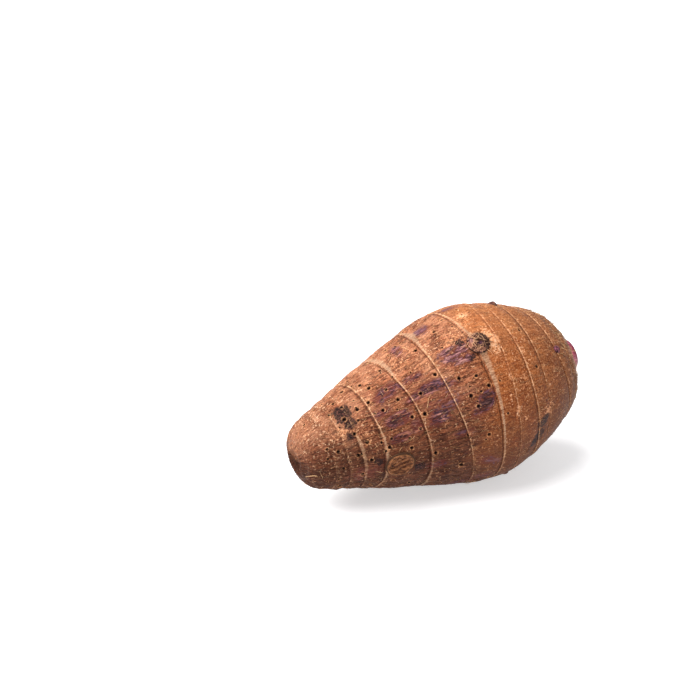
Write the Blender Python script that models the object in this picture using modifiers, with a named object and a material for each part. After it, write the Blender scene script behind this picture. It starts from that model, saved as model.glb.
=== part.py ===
"""A taro corm with the cut stub of its leaf stalks, lying on its side.

Units are metres and +Z is up. The corm's axis lies in the XZ plane. Its head,
where the leaves grew, points to +X and is a little raised. The origin is in the
small flat spot under the belly that the corm rests on.

A place on the corm is given by its distance along the axis from the tail end
and by an angle round the axis: 0 degrees is the top, 90 degrees the -Y side.
"""
import math
import random
from collections import namedtuple

import bmesh
import bpy
from mathutils import Matrix, Vector

MM = 0.001
GAP = 0.3 * MM

# The corm's size and how it lies
CORM_LENGTH = 157.0 * MM
HEAD_RAISED = math.radians(8.5)
TAIL_END = Vector((-95.3, 0.0, 27.6)) * MM
REST_PLANE_SIZE = 200.0 * MM

# Outline: distance from the tail end and radius, both in millimetres
OUTLINE = ((6.0, 15.7), (22.0, 21.7), (45.0, 29.9), (70.0, 37.5), (96.0, 43.5), (122.0, 39.4),
           (141.0, 30.7), (151.5, 21.4))
CORM_COLUMNS = 50
ROW_SPACING = 5.2 * MM

# Leaf-scar rings: place on the axis, how far the ring leans forward at the top and at the -Y side, and
# depth, all in millimetres
Ring = namedtuple("Ring", "place lean_top lean_side depth")
RINGS = (
    Ring(13.0, 0.3, 0.5, 0.40),
    Ring(19.5, 0.2, 0.6, 0.50),
    Ring(26.9, -0.3, -0.4, 0.50),
    Ring(34.4, 1.7, 2.2, 0.70),
    Ring(44.2, 0.6, 1.4, 0.20),
    Ring(54.4, -1.0, 3.4, 0.95),
    Ring(66.0, -2.4, 0.8, 0.20),
    Ring(77.5, -4.4, -1.1, 0.75),
    Ring(93.9, 0.5, 0.1, 0.85),
    Ring(107.6, 1.6, -4.4, 0.35),
    Ring(117.2, -0.2, -1.9, 0.60),
    Ring(123.6, 2.6, -0.2, 0.45),
    Ring(137.6, -0.9, 1.9, 0.60),
    Ring(145.2, 0.4, 0.6, 0.45),
    Ring(150.4, 0.0, 0.3, 0.40),
)
GROOVE_PLACE = -0.9 * MM
GROOVE_WIDTH = 0.9 * MM
LIP_PLACE = 0.6 * MM
LIP_WIDTH = 1.4 * MM
LIP_SHARE = 0.6
RING_ROWS = (-0.9 * MM, 0.5 * MM, 2.4 * MM)
RING_WAVE = 0.45 * MM
BULGE = 0.45 * MM
LOBE = 0.5 * MM

# Crown: the shallow seat that the stalks stand in, and the rim round it
SEAT_FLOOR = 153.2 * MM
SEAT_RADIUS = 12.6 * MM
CROWN_RIM = ((12.9, 154.3), (14.2, 154.7), (15.9, 154.3))
SHOULDER = 153.4 * MM

# Tail: the scar where the corm broke from its mother corm
TAIL_SCAR = ((8.6, 1.5), (6.6, 0.6), (4.6, 1.4), (0.0, 1.8))
TAIL_START = 2.6 * MM

# Outer leaf stalk, radius and place on the axis, from the cut end down its outside
STALK_OUTSIDE = ((8.2, 162.4), (8.6, 160.6), (9.2, 158.5), (10.2, 156.6), (11.5, 155.3),
                 (12.2, 154.6), (12.2, 154.1), (11.9, 153.5))
STALK_BORE = ((4.9, 156.6), (5.1, 159.0), (5.5, 162.4))
STALK_WRAP = 0.5 * MM
STALK_WRAP_ANGLE = math.radians(150.0)
STALK_SAG = 1.6 * MM
STALK_COLUMNS = 40

# Inner leaf stalk, standing in the outer one's bore
INNER_STALK = ((0.0, 162.0), (3.6, 162.1), (4.7, 161.8), (4.7, 159.0), (4.5, 156.9), (0.0, 156.9))
INNER_COLUMNS = 24
INNER_FOLD = 0.35 * MM

# Swellings of the skin: place, angle in degrees, height and width in millimetres
Swelling = namedtuple("Swelling", "place angle height width")
SWELLINGS = (
    Swelling(103.6, 31.0, 1.0, 6.5),
    Swelling(96.5, 31.0, 0.7, 9.0),
    Swelling(41.2, 99.0, 0.8, 9.0),
    Swelling(118.5, 106.0, -0.7, 5.0),
    Swelling(134.0, 98.0, 1.3, 17.0),
    Swelling(62.0, 44.0, -0.5, 4.0),
    Swelling(72.0, 252.0, 0.8, 9.0),
)

# Growths: place, angle in degrees and radius in millimetres
Growth = namedtuple("Growth", "place angle radius")
FIBRE_BUDS = (Growth(96.2, 30.0, 5.8), Growth(79.6, 232.0, 4.6))
SMALL_BUDS = (Growth(121.8, 349.0, 2.7), Growth(138.4, 51.0, 2.0), Growth(118.0, 262.0, 2.4),
              Growth(108.0, 152.0, 2.3), Growth(55.6, 300.0, 2.6), Growth(145.6, 205.0, 1.9))
CUT_SCARS = (Growth(41.2, 99.0, 6.6), Growth(64.6, 196.0, 4.8))
BUD_COLUMNS = 16
SMALL_BUD_COLUMNS = 10
SCAR_COLUMNS = 18
BUD_PLEAT = 0.10
FIBRE_BUD_HEIGHT = 0.42
SMALL_BUD_HEIGHT = 0.60

# Root scars: the clearest ones, as place and angle, then how many more lie between one ring and the
# next, counted from the tail, and the size of a pit
CLEAR_ROOT_SCARS = ((26, 53), (30, 67), (30, 88), (38, 29), (42, 16), (42, 43), (48, 27), (49, 85), (53, 59),
                    (61, 44), (80, 46), (82, 60), (86, 90), (88, 49), (92, 58), (122, 29))
ROOT_SCARS_BETWEEN = (6, 7, 8, 10, 9, 7, 7, 12, 2, 2, 1)
ROOT_SCAR_SEED = 27
ROOT_SCAR_RADIUS = 1.3 * MM
ROOT_SCAR_DEPTH = 1.8 * MM
ROOT_SCAR_SIDES = 6
ROOT_SCAR_CLEARANCE = 5.0 * MM
GROWTH_CLEARANCE = 9.0 * MM
REST_CLEARANCE = 6.0 * MM

SKIN_COLOUR = (0.33, 0.135, 0.055, 1.0)
STALK_COLOUR = (0.62, 0.09, 0.19, 1.0)
CORE_COLOUR = (0.62, 0.36, 0.10, 1.0)


def clear_scene():
    """Remove the objects that Blender starts with."""
    for item in list(bpy.data.objects):
        bpy.data.objects.remove(item, do_unlink=True)


def make_collection(name):
    """Add a collection to the scene."""
    collection = bpy.data.collections.new(name)
    bpy.context.scene.collection.children.link(collection)
    return collection


def make_material(name, colour, roughness):
    """A Principled material of one colour."""
    material = bpy.data.materials.new(name)
    material.use_nodes = True
    shader = material.node_tree.nodes["Principled BSDF"]
    shader.inputs["Base Color"].default_value = colour
    shader.inputs["Roughness"].default_value = roughness
    shader.inputs["Metallic"].default_value = 0.0
    return material


def bell(distance, width):
    """1 at no distance, fading to 0 past the width."""
    return math.exp(-((distance / width) ** 2))


def outline_share(place):
    """The polynomial through the stations of radius squared over that of a plain arch."""
    points = []
    for at, radius in OUTLINE:
        at *= MM
        arch = at * (CORM_LENGTH - at)
        points.append((at, (radius * MM) ** 2 / arch))
    total = 0.0
    for i, (at, value) in enumerate(points):
        term = value
        for j, (other, _) in enumerate(points):
            if j != i:
                term *= (place - other) / (at - other)
        total += term
    return total


def outline_radius(place):
    """Radius of the plain corm at a place on its axis."""
    arch = max(place * (CORM_LENGTH - place), 0.0)
    return math.sqrt(arch * max(outline_share(place), 0.0))


def ring_lean(place, angle):
    """How far the rows near a place are moved along the axis, so that they follow the leaning rings."""
    knots = [(0.0, 0.0)]
    for ring in RINGS:
        lean = ring.lean_top * math.cos(angle) + ring.lean_side * math.sin(angle)
        knots.append((ring.place * MM, lean * MM + ring_wave(ring, angle)))
    knots.append((SHOULDER, 0.0))
    for (start, first), (end, second) in zip(knots, knots[1:]):
        if start <= place <= end:
            return first + (second - first) * (place - start) / (end - start)
    return 0.0


def ring_wave(ring, angle):
    """The small unevenness of a ring's edge."""
    phase = ring.place
    size = RING_WAVE * min(ring.depth, 1.0)
    return size * (0.6 * math.sin(3 * angle + phase) + 0.4 * math.sin(7 * angle + 2 * phase))


def ring_relief(place, angle):
    """Groove and raised lip of every ring, and the slight bulge between rings."""
    height = 0.0
    for ring in RINGS:
        offset = place - ring.place * MM
        fade = 0.85 + 0.15 * math.sin(2 * angle + ring.place)
        lip = LIP_SHARE * bell(offset - LIP_PLACE, LIP_WIDTH)
        height += ring.depth * MM * fade * (lip - bell(offset - GROOVE_PLACE, GROOVE_WIDTH))
    strong = [ring for ring in RINGS if ring.depth >= 0.4]
    for first, second in zip(strong, strong[1:]):
        start = first.place * MM
        length = second.place * MM - start
        if start < place < start + length:
            height += BULGE * math.sin(math.pi * (place - start) / length)
    return height


def lobe_relief(place, angle):
    """The broad unevenness of the whole corm."""
    along = place / CORM_LENGTH
    waves = math.cos(2 * angle - 1.2 + 3.0 * along) + 0.6 * math.cos(3 * angle + 2.0 - 5.0 * along)
    return LOBE * waves * math.sin(math.pi * along)


def swelling_relief(place, angle):
    """The swellings and hollows round the buds and scars."""
    height = 0.0
    for swelling in SWELLINGS:
        height += swelling.height * MM * bell(skin_distance(place, angle, swelling), swelling.width * MM)
    return height


def skin_distance(place, angle, spot):
    """Rough distance over the skin from a place to a spot given in millimetres and degrees."""
    turn = angle - math.radians(spot.angle)
    turn = math.atan2(math.sin(turn), math.cos(turn))
    return math.hypot(place - spot.place * MM, turn * outline_radius(place))


def outline_normal(place):
    """Outward direction of the outline, as its share along the axis and its share away from it."""
    step = 0.5 * MM
    slope = (outline_radius(place + step) - outline_radius(place - step)) / (2 * step)
    length = math.hypot(1.0, slope)
    return -slope / length, 1.0 / length


def skin_point(row, angle):
    """Point of the skin on a row, in the corm's own axes: X along the axis, Z up."""
    place = row + ring_lean(row, angle)
    height = ring_relief(row, angle) + lobe_relief(place, angle) + swelling_relief(place, angle)
    along, away = outline_normal(place)
    radius = outline_radius(place) + height * away
    return axis_point(place + height * along, radius, angle)


def axis_point(place, radius, angle):
    """Point at a place on the axis, a radius from it and an angle round it."""
    return Vector((place, -radius * math.sin(angle), radius * math.cos(angle)))


def lying_matrix():
    """From the corm's own axes to the world, where it rests with its head raised."""
    return Matrix.Translation(TAIL_END) @ Matrix.Rotation(-HEAD_RAISED, 4, "Y")


def corm_rows():
    """Places of the rows of points along the axis, denser at the rings."""
    rows = [TAIL_START, SHOULDER]
    for ring in RINGS:
        rows += [ring.place * MM + offset for offset in RING_ROWS if ring.place * MM + offset < SHOULDER]
    rows.sort()
    filled = [rows[0]]
    for row in rows[1:]:
        start = filled[-1]
        parts = math.ceil((row - start) / ROW_SPACING)
        filled += [start + (row - start) * part / parts for part in range(1, parts + 1)]
    return filled


def corm_profile():
    """Half outline of the corm from the middle of the crown down to the tail, as radius and place."""
    profile = [(0.0, SEAT_FLOOR), (SEAT_RADIUS / 2, SEAT_FLOOR), (SEAT_RADIUS, SEAT_FLOOR)]
    profile += [(radius * MM, place * MM) for radius, place in CROWN_RIM]
    profile += [(outline_radius(row), row) for row in reversed(corm_rows())]
    profile += [(radius * MM, place * MM) for radius, place in TAIL_SCAR]
    return profile


def turned_mesh(name, profile, columns):
    """Mesh of a profile turned once round Z, with its material's shading smooth."""
    mesh = bpy.data.meshes.new(name + "_profile")
    mesh.from_pydata([(radius, 0.0, place) for radius, place in profile],
                     [(i, i + 1) for i in range(len(profile) - 1)], [])
    piece = bpy.data.objects.new(name + "_profile", mesh)
    bpy.context.scene.collection.objects.link(piece)
    screw = piece.modifiers.new("Turn", "SCREW")
    screw.steps = columns
    screw.render_steps = columns
    screw.use_merge_vertices = True
    screw.merge_threshold = 0.00001
    screw.use_smooth_shade = True
    turned = evaluated_mesh(piece, name)
    bpy.data.objects.remove(piece, do_unlink=True)
    bpy.data.meshes.remove(mesh)
    return turned


def evaluated_mesh(piece, name):
    """The mesh of an object with its modifiers applied."""
    bpy.context.view_layer.update()
    graph = bpy.context.evaluated_depsgraph_get()
    mesh = bpy.data.meshes.new_from_object(piece.evaluated_get(graph), depsgraph=graph)
    mesh.name = name
    return mesh


def add_object(name, mesh, collection):
    """Add an object of a mesh to a collection."""
    piece = bpy.data.objects.new(name, mesh)
    collection.objects.link(piece)
    return piece


def corm_mesh():
    """The turned corm with its points moved onto the skin."""
    mesh = turned_mesh("corm", corm_profile(), CORM_COLUMNS)
    for vertex in mesh.vertices:
        x, y, place = vertex.co
        radius = math.hypot(x, y)
        angle = math.atan2(y, x)
        if TAIL_START - 1e-7 <= place <= SHOULDER + 1e-7 and radius > SEAT_RADIUS * 0.6:
            vertex.co = skin_point(place, angle)
        else:
            vertex.co = axis_point(place, radius, angle)
    return mesh


def spot_matrix(spot):
    """Frame on the skin at a spot: Z out of the skin, X along the corm."""
    row = spot.place * MM
    angle = math.radians(spot.angle)
    step = 1.0 * MM
    point = skin_point(row, angle)
    along = axis_point(row + step, outline_radius(row + step), angle)
    along -= axis_point(row - step, outline_radius(row - step), angle)
    along.normalize()
    round_axis = Vector((0.0, -math.cos(angle), -math.sin(angle)))
    out = along.cross(round_axis)
    if out.dot(Vector((0.0, -math.sin(angle), math.cos(angle)))) < 0.0:
        out = -out
    side = out.cross(along)
    frame = Matrix((along, side, out)).transposed().to_4x4()
    return Matrix.Translation(point) @ frame


def bud_profile(radius, height):
    """Profile of a bud: two layers of closed scale leaves over a root sunk in the corm."""
    return [(0.0, height), (0.34 * radius, 0.93 * height), (0.62 * radius, 0.66 * height),
            (0.70 * radius, 0.40 * height), (0.90 * radius, 0.30 * height), (radius, -0.05 * height),
            (0.92 * radius, -1.2 * height), (0.0, -1.5 * height)]


def scar_profile(radius):
    """Profile of a cut scar: a rounded lip round a face that is sunk a little."""
    return [(0.0, 0.35 * MM), (0.45 * radius, 0.2 * MM), (0.76 * radius, 0.15 * MM),
            (0.84 * radius, 0.85 * MM), (0.95 * radius, 0.8 * MM), (1.04 * radius, -0.3 * MM),
            (0.98 * radius, -3.0 * MM), (0.0, -3.4 * MM)]


def growth_mesh(profile, columns, pleat, matrix):
    """A turned growth set on the skin, with every other column drawn in: by turns below and on top."""
    mesh = turned_mesh("growth", profile, columns)
    top_layer = 0.5 * profile[0][1]
    for vertex in mesh.vertices:
        column = round(math.atan2(vertex.co.y, vertex.co.x) / (2 * math.pi) * columns)
        if (column + (vertex.co.z > top_layer)) % 2:
            vertex.co.x *= 1.0 - pleat
            vertex.co.y *= 1.0 - pleat
    mesh.transform(matrix)
    return mesh


def growth_meshes():
    """All buds and cut scars, as closed meshes sunk in the skin."""
    meshes = []
    for bud in FIBRE_BUDS:
        profile = bud_profile(bud.radius * MM, FIBRE_BUD_HEIGHT * bud.radius * MM)
        meshes.append(growth_mesh(profile, BUD_COLUMNS, BUD_PLEAT, spot_matrix(bud)))
    for bud in SMALL_BUDS:
        profile = bud_profile(bud.radius * MM, SMALL_BUD_HEIGHT * bud.radius * MM)
        meshes.append(growth_mesh(profile, SMALL_BUD_COLUMNS, BUD_PLEAT, spot_matrix(bud)))
    for scar in CUT_SCARS:
        meshes.append(growth_mesh(scar_profile(scar.radius * MM), SCAR_COLUMNS, 0.0, spot_matrix(scar)))
    return meshes


def joined_mesh(name, meshes):
    """Several meshes in one, each still a closed body."""
    build = bmesh.new()
    for mesh in meshes:
        build.from_mesh(mesh)
        bpy.data.meshes.remove(mesh)
    joined = bpy.data.meshes.new(name)
    build.to_mesh(joined)
    build.free()
    return joined


def rest_height(place, angle):
    """Height of the skin above the surface that the corm lies on."""
    return (lying_matrix() @ skin_point(place, angle)).z


def is_clear(spot, taken):
    """True where a root scar has room: clear of other marks and of the flat spot."""
    place = spot.place * MM
    angle = math.radians(spot.angle)
    if rest_height(place, angle) < REST_CLEARANCE:
        return False
    for other in taken:
        room = ROOT_SCAR_CLEARANCE if other.radius == 0.0 else GROWTH_CLEARANCE
        if skin_distance(place, angle, other) < room:
            return False
    return True


def root_scar_spots():
    """Places of the root scars: the clear ones, and others spread at random between the rings."""
    draw = random.Random(ROOT_SCAR_SEED)
    spots = [Growth(place, angle, 0.0) for place, angle in CLEAR_ROOT_SCARS]
    taken = [*FIBRE_BUDS, *SMALL_BUDS, *CUT_SCARS, *spots]
    for first, second, count in zip(RINGS, RINGS[1:], ROOT_SCARS_BETWEEN):
        start_turn = draw.uniform(0.0, 360.0)
        for number in range(count):
            share = draw.uniform(0.3, 0.8)
            turn = start_turn + 360.0 * (number + draw.uniform(-0.35, 0.35)) / count
            spot = Growth(first.place + share * (second.place - first.place), turn % 360.0, 0.0)
            if is_clear(spot, taken):
                taken.append(spot)
                spots.append(spot)
    return spots


def root_scar_mesh(spot):
    """Cutter for one root scar: a cone that narrows into the skin."""
    build = bmesh.new()
    above = 1.2 * MM
    bmesh.ops.create_cone(build, cap_ends=True, segments=ROOT_SCAR_SIDES, radius1=0.55 * ROOT_SCAR_RADIUS,
                          radius2=1.3 * ROOT_SCAR_RADIUS, depth=ROOT_SCAR_DEPTH + above)
    lift = Matrix.Translation((0.0, 0.0, (above - ROOT_SCAR_DEPTH) / 2))
    build.transform(spot_matrix(spot) @ lift)
    mesh = bpy.data.meshes.new("root_scar")
    build.to_mesh(mesh)
    build.free()
    return mesh


def rest_plane_mesh():
    """Cutter for the flat spot: a block whose top is the surface that the corm lies on."""
    build = bmesh.new()
    bmesh.ops.create_cube(build, size=REST_PLANE_SIZE)
    build.transform(Matrix.Translation((0.0, 0.0, -REST_PLANE_SIZE / 2)))
    mesh = bpy.data.meshes.new("rest_plane")
    build.to_mesh(mesh)
    build.free()
    return mesh


def add_boolean(piece, other, operation):
    """Join or cut a piece with another object."""
    boolean = piece.modifiers.new(operation.title(), "BOOLEAN")
    boolean.operation = operation
    boolean.solver = "EXACT"
    boolean.object = other


def make_guide(name, mesh, collection):
    """A cutter, kept out of renders."""
    guide = add_object(name, mesh, collection)
    guide.hide_render = True
    guide.display_type = "WIRE"
    return guide


def make_corm(parts, cutters):
    """The corm: turned body, growths joined on, root scars and the flat spot cut."""
    corm = add_object("corm", corm_mesh(), parts)
    growths = make_guide("growths", joined_mesh("growths", growth_meshes()), cutters)
    add_boolean(corm, growths, "UNION")
    joined = evaluated_mesh(corm, "corm")
    corm.modifiers.clear()
    corm.data = joined
    bpy.data.objects.remove(growths, do_unlink=True)
    joined.transform(lying_matrix())
    scars = joined_mesh("root_scars", [root_scar_mesh(spot) for spot in root_scar_spots()])
    scars.transform(lying_matrix())
    add_boolean(corm, make_guide("root_scars", scars, cutters), "DIFFERENCE")
    add_boolean(corm, make_guide("rest_plane", rest_plane_mesh(), cutters), "DIFFERENCE")
    joined.materials.clear()
    joined.materials.append(make_material("taro_skin", SKIN_COLOUR, 0.75))


def lay_stalk(mesh, radius_rule):
    """Turn a stalk made round Z into the corm's axes, with its radius by a rule and its cut end sagging."""
    cut_end = STALK_OUTSIDE[0][1] * MM
    for vertex in mesh.vertices:
        x, y, place = vertex.co
        angle = math.atan2(y, x)
        vertex.co = axis_point(place, radius_rule(math.hypot(x, y), angle), angle)
        rise = max(place - SEAT_FLOOR, 0.0) / (cut_end - SEAT_FLOOR)
        vertex.co.z -= STALK_SAG * rise ** 2
    mesh.transform(lying_matrix())


def outer_stalk_radius(radius, angle):
    """The outside grows with the angle, which leaves a step where the stalk wraps over itself."""
    bore_radius = STALK_BORE[-1][0] * MM
    if radius <= bore_radius + GAP:
        return radius
    turn = (angle - STALK_WRAP_ANGLE) % (2 * math.pi) / (2 * math.pi)
    return radius - STALK_WRAP * (1.0 - turn)


def inner_stalk_radius(radius, angle):
    """The inner stalk is pressed in a little on two sides."""
    share = radius / (INNER_STALK[2][0] * MM)
    return radius - INNER_FOLD * share * (0.5 + 0.5 * math.cos(2 * angle))


def make_outer_stalk(parts):
    """The pink base of the outer leaf stalk, with a blind bore at the cut end."""
    profile = [(0.0, STALK_BORE[0][1] * MM)]
    profile += [(radius * MM, place * MM) for radius, place in STALK_BORE]
    profile += [(radius * MM, place * MM) for radius, place in STALK_OUTSIDE]
    profile += [(0.0, STALK_OUTSIDE[-1][1] * MM)]
    mesh = turned_mesh("outer_leaf_stalk", profile, STALK_COLUMNS)
    lay_stalk(mesh, outer_stalk_radius)
    mesh.materials.append(make_material("pink_stalk", STALK_COLOUR, 0.35))
    add_object("outer_leaf_stalk", mesh, parts)


def make_inner_stalk(parts):
    """The rolled inner leaf stalk, cut level with the outer one."""
    profile = [(radius * MM, place * MM) for radius, place in INNER_STALK]
    mesh = turned_mesh("inner_leaf_stalk", profile, INNER_COLUMNS)
    lay_stalk(mesh, inner_stalk_radius)
    mesh.materials.append(make_material("stalk_core", CORE_COLOUR, 0.5))
    add_object("inner_leaf_stalk", mesh, parts)


def main():
    """Build the taro."""
    clear_scene()
    parts = make_collection("taro")
    cutters = make_collection("taro_cutters")
    make_corm(parts, cutters)
    make_outer_stalk(parts)
    make_inner_stalk(parts)


main()
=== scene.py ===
"""The looks of a taro corm with the cut stub of its leaf stalks: skin, buds, scars, stalks and fibres.

A place on the corm is given by its distance along the axis from the tail end and by an angle round the
axis: 0 degrees is the top, 90 degrees the -Y side. A length written with MM is in metres, and so are the
lengths in the panel. All others are in millimetres.
"""
import math
import random
from collections import namedtuple

import bpy
import numpy as np
from bpy.props import FloatProperty, FloatVectorProperty, IntProperty, PointerProperty
from mathutils import Matrix, Vector


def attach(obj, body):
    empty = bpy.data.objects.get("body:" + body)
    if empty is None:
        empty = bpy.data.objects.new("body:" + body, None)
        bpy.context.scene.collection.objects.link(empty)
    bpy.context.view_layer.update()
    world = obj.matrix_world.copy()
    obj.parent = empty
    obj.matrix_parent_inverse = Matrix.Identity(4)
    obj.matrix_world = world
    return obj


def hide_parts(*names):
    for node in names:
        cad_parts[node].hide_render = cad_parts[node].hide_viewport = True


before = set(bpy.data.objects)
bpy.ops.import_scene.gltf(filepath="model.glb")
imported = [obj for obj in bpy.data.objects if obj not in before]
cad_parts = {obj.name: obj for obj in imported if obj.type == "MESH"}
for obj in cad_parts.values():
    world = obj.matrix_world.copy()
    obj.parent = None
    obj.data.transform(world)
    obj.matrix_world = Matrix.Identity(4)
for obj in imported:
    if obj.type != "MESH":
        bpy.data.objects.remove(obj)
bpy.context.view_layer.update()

bl_info = {
    "name": "Taro corm",
    "version": (1, 0, 0),
    "blender": (4, 5, 0),
    "location": "3D View > Sidebar > Taro",
    "description": "Skin, buds, cut scars, leaf stalks and fibres of a taro corm",
    "category": "Object",
}

MM = 0.001
BODY = "root"
STUDIO_LIGHT = 1.25

# The corm's size and how it lies, as the frame has it
CORM_LENGTH = 157.0 * MM
HEAD_RAISED = math.radians(8.5)
TAIL_END = Vector((-95.3, 0.0, 27.6)) * MM
OUTLINE = ((6.0, 15.7), (22.0, 21.7), (45.0, 29.9), (70.0, 37.5), (96.0, 43.5), (122.0, 39.4),
           (141.0, 30.7), (151.5, 21.4))
OUTLINE_POINTS = 6281
FLOW_RADIUS = 40.0

# Leaf-scar rings: place, how far the ring leans forward at the top and at the -Y side, and depth, in mm,
# then how clear its pale line is
Ring = namedtuple("Ring", "place lean_top lean_side depth line")
RINGS = [Ring(*row) for row in (
    (13.0, 0.3, 0.5, 0.4, 0.35), (19.5, 0.2, 0.6, 0.5, 0.4), (26.9, -0.3, -0.4, 0.5, 0.6),
    (34.4, 1.7, 2.2, 0.7, 1.0), (44.2, 0.6, 1.4, 0.2, 0.2), (54.4, -1.0, 3.4, 0.95, 1.0),
    (66.0, -2.4, 0.8, 0.2, 0.2), (77.5, -4.4, -1.1, 0.75, 1.0), (93.9, 0.5, 0.1, 0.85, 0.8),
    (107.6, 1.6, -4.4, 0.35, 0.45), (117.2, -0.2, -1.9, 0.6, 0.9), (123.6, 2.6, -0.2, 0.45, 0.8),
    (137.6, -0.9, 1.9, 0.6, 0.85), (145.2, 0.4, 0.6, 0.45, 0.4), (150.4, 0.0, 0.3, 0.4, 0.4),
)]
# Unevenness of the rings' edges, the bulges between rings that are at least as deep as a strong one, and
# the broad unevenness of the whole corm
RING_WAVE = 0.45 * MM
BULGE = 0.45 * MM
STRONG_RING = 0.4
LOBE = 0.5 * MM
# A ring's groove and lip: where they lie past its place, and their height as a share of its depth
GROOVE_PLACE = -0.6
GROOVE_WIDTH = 0.42
GROOVE_SHARE = 0.5
LIP_RISE = (-0.45, 0.1)
LIP_FADE = 3.4
LIP_SHARE = 0.42
# Short fibres past a ring
HATCH_FADE = 2.0
HATCH_END = (3.0, 4.5)
# Where the older, wrinkled skin of the tail gives way to the younger skin of the head
TAIL_SKIN_END = (88.0, 98.0)

# Pale edge of a ring: its width, how much a deeper ring adds to it, where it starts, the widths over which
# it turns into a band, and its width by angle where it is wide
PLAIN_EDGE = 0.32
EDGE_BY_DEPTH = 0.16
EDGE_START = -0.15
BAND_WIDTHS = (0.7, 2.0)
WIDE_EDGES = {
    93.9: ((0, 1.0), (18, 1.8), (28, 4.2), (40, 5.0), (56, 3.7), (76, 2.3), (110, 1.3), (150, 1.0),
           (250, 1.4), (300, 0.9), (345, 0.9)),
    77.5: ((0, 2.4), (14, 1.0), (30, 0.5), (100, 0.5), (200, 1.8), (260, 0.5), (342, 1.6), (353, 3.2)),
    54.4: ((0, 3.8), (10, 3.0), (22, 1.0), (60, 0.5), (84, 0.8), (180, 2.2), (220, 0.5), (328, 1.4),
           (342, 3.4)),
    34.4: ((0, 0.6), (50, 0.5), (72, 1.6), (96, 1.9), (130, 0.6), (240, 0.5)),
    26.9: ((0, 0.4), (50, 0.5), (66, 1.5), (100, 1.2), (140, 0.4)),
}

# Share of a ring's pale line that shows, by angle, where it fades
LINE_FADES = {
    117.2: ((0, 0.45), (25, 0.6), (45, 1.0), (120, 0.9), (180, 0.5), (330, 0.3)),
    123.6: ((0, 1.0), (50, 0.9), (78, 0.4), (150, 0.5), (250, 0.9)),
    137.6: ((0, 1.0), (46, 0.9), (60, 0.6), (130, 0.5), (230, 0.8)),
    77.5: ((0, 0.8), (40, 1.0), (75, 0.9), (92, 0.5), (140, 0.4), (200, 0.6), (300, 0.9)),
    54.4: ((0, 1.0), (55, 1.0), (80, 0.6), (140, 0.4), (200, 0.8), (320, 1.0)),
    34.4: ((0, 0.8), (60, 1.0), (150, 0.7), (260, 0.8)),
    26.9: ((0, 0.4), (44, 0.2), (60, 0.9), (140, 0.8), (250, 0.6)),
}

# Crown: the seat that the stalks stand in and the rim round it, as radius and place in mm
SHOULDER = 153.4
CROWN_PROFILE = ((16.6, 153.75), (16.0, 154.15), (15.2, 154.45), (14.2, 154.6), (13.5, 154.55),
                 (13.0, 154.25), (12.7, 153.7), (12.5, 153.25), (11.0, 153.2), (7.0, 153.2))

# Tail: the scar where the corm broke from its mother corm, as radius and place in mm
TAIL_START = 2.6
TAIL_PROFILE = ((1.6, 1.75), (3.6, 1.6), (4.8, 1.25), (5.8, 0.8), (6.7, 0.6), (7.4, 0.8), (8.2, 1.25),
                (9.2, 1.8), (9.9, 2.25))

# The skin is made in stretches that meet in the groove of a ring: name, first ring, last ring, and how
# many rows and columns of points
Stretch = namedtuple("Stretch", "name first last rows columns")
STRETCHES = (
    Stretch("tail_skin", None, 54.4, 185, 480),
    Stretch("belly_skin", 54.4, 107.6, 160, 600),
    Stretch("head_skin", 107.6, None, 164, 510),
)
# Rows lie closer from just before a ring to just past it, and some lie at set distances from it
RING_REACH = (-1.5, 1.8)
RING_DENSITY = 2.1
RING_ROWS = (-0.6, -0.15, 0.08, 0.33)
# Distance between rows on the two ends of the corm, and how rough the ends are
END_STEP = 0.45
CROWN_ROUGHNESS = 0.10
TAIL_ROUGHNESS = 0.30

# Swellings of the skin: place, angle in degrees, height and width
Swelling = namedtuple("Swelling", "place angle height width")
SWELLINGS = [Swelling(*row) for row in (
    (103.6, 31.0, 1.0, 6.5), (96.5, 31.0, 0.7, 9.0), (41.2, 99.0, 0.8, 9.0), (118.5, 106.0, -0.7, 5.0),
    (134.0, 98.0, 1.3, 17.0), (62.0, 44.0, -0.5, 4.0), (72.0, 252.0, 0.8, 9.0),
)]

# Growths: place, angle in degrees and radius
Growth = namedtuple("Growth", "place angle radius")
FIBRE_BUDS = (Growth(96.2, 30.0, 5.8), Growth(79.6, 232.0, 4.6))
SMALL_BUDS = (Growth(121.8, 349.0, 2.7), Growth(138.4, 51.0, 2.0), Growth(118.0, 262.0, 2.4),
              Growth(108.0, 152.0, 2.3), Growth(55.6, 300.0, 2.6), Growth(145.6, 205.0, 1.9))
CUT_SCARS = (Growth(41.2, 99.0, 6.6), Growth(64.6, 196.0, 4.8))
# Shape of a cut scar: how much longer than its radius it is along the corm, how much wider, and its turn
SCAR_SHAPE = (1.14, 0.96, math.radians(18.0))
# Folds of a cut scar: how far aside of its middle, as a share of its radius, and how deep
FOLDS = ((0.0, 1.0), (0.33, 0.6), (-0.36, 0.7), (0.62, 0.35))
# Heights of the buds as shares of their radius, and the two young buds near the head, which are pink
FIBRE_BUD_HEIGHT = 0.42
SMALL_BUD_HEIGHT = 0.60
PINK_BUD_PLACES = (138.4, 145.6)
# Columns and rows of the points of a growth, the shares of its radius at its root in the skin, and how deep
# the root goes: in heights of the bud, or in mm for a cut scar
FIBRE_BUD_MESH = (120, 46)
SMALL_BUD_MESH = (60, 24)
CUT_SCAR_MESH = (150, 56)
GROWTH_ROOT = (0.90, 0.97, 1.0)
BUD_ROOT_DEPTH = 1.4
SCAR_ROOT_DEPTH = 3.0
# Seeds of their shapes, and the depth of the bumps in their finishes
FIBRE_BUD_SEED = 40
SMALL_BUD_SEED = 50
CUT_SCAR_SEED = 60
BUD_BUMP = 1.2 * MM
SCAR_BUMP = 1.1 * MM

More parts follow.
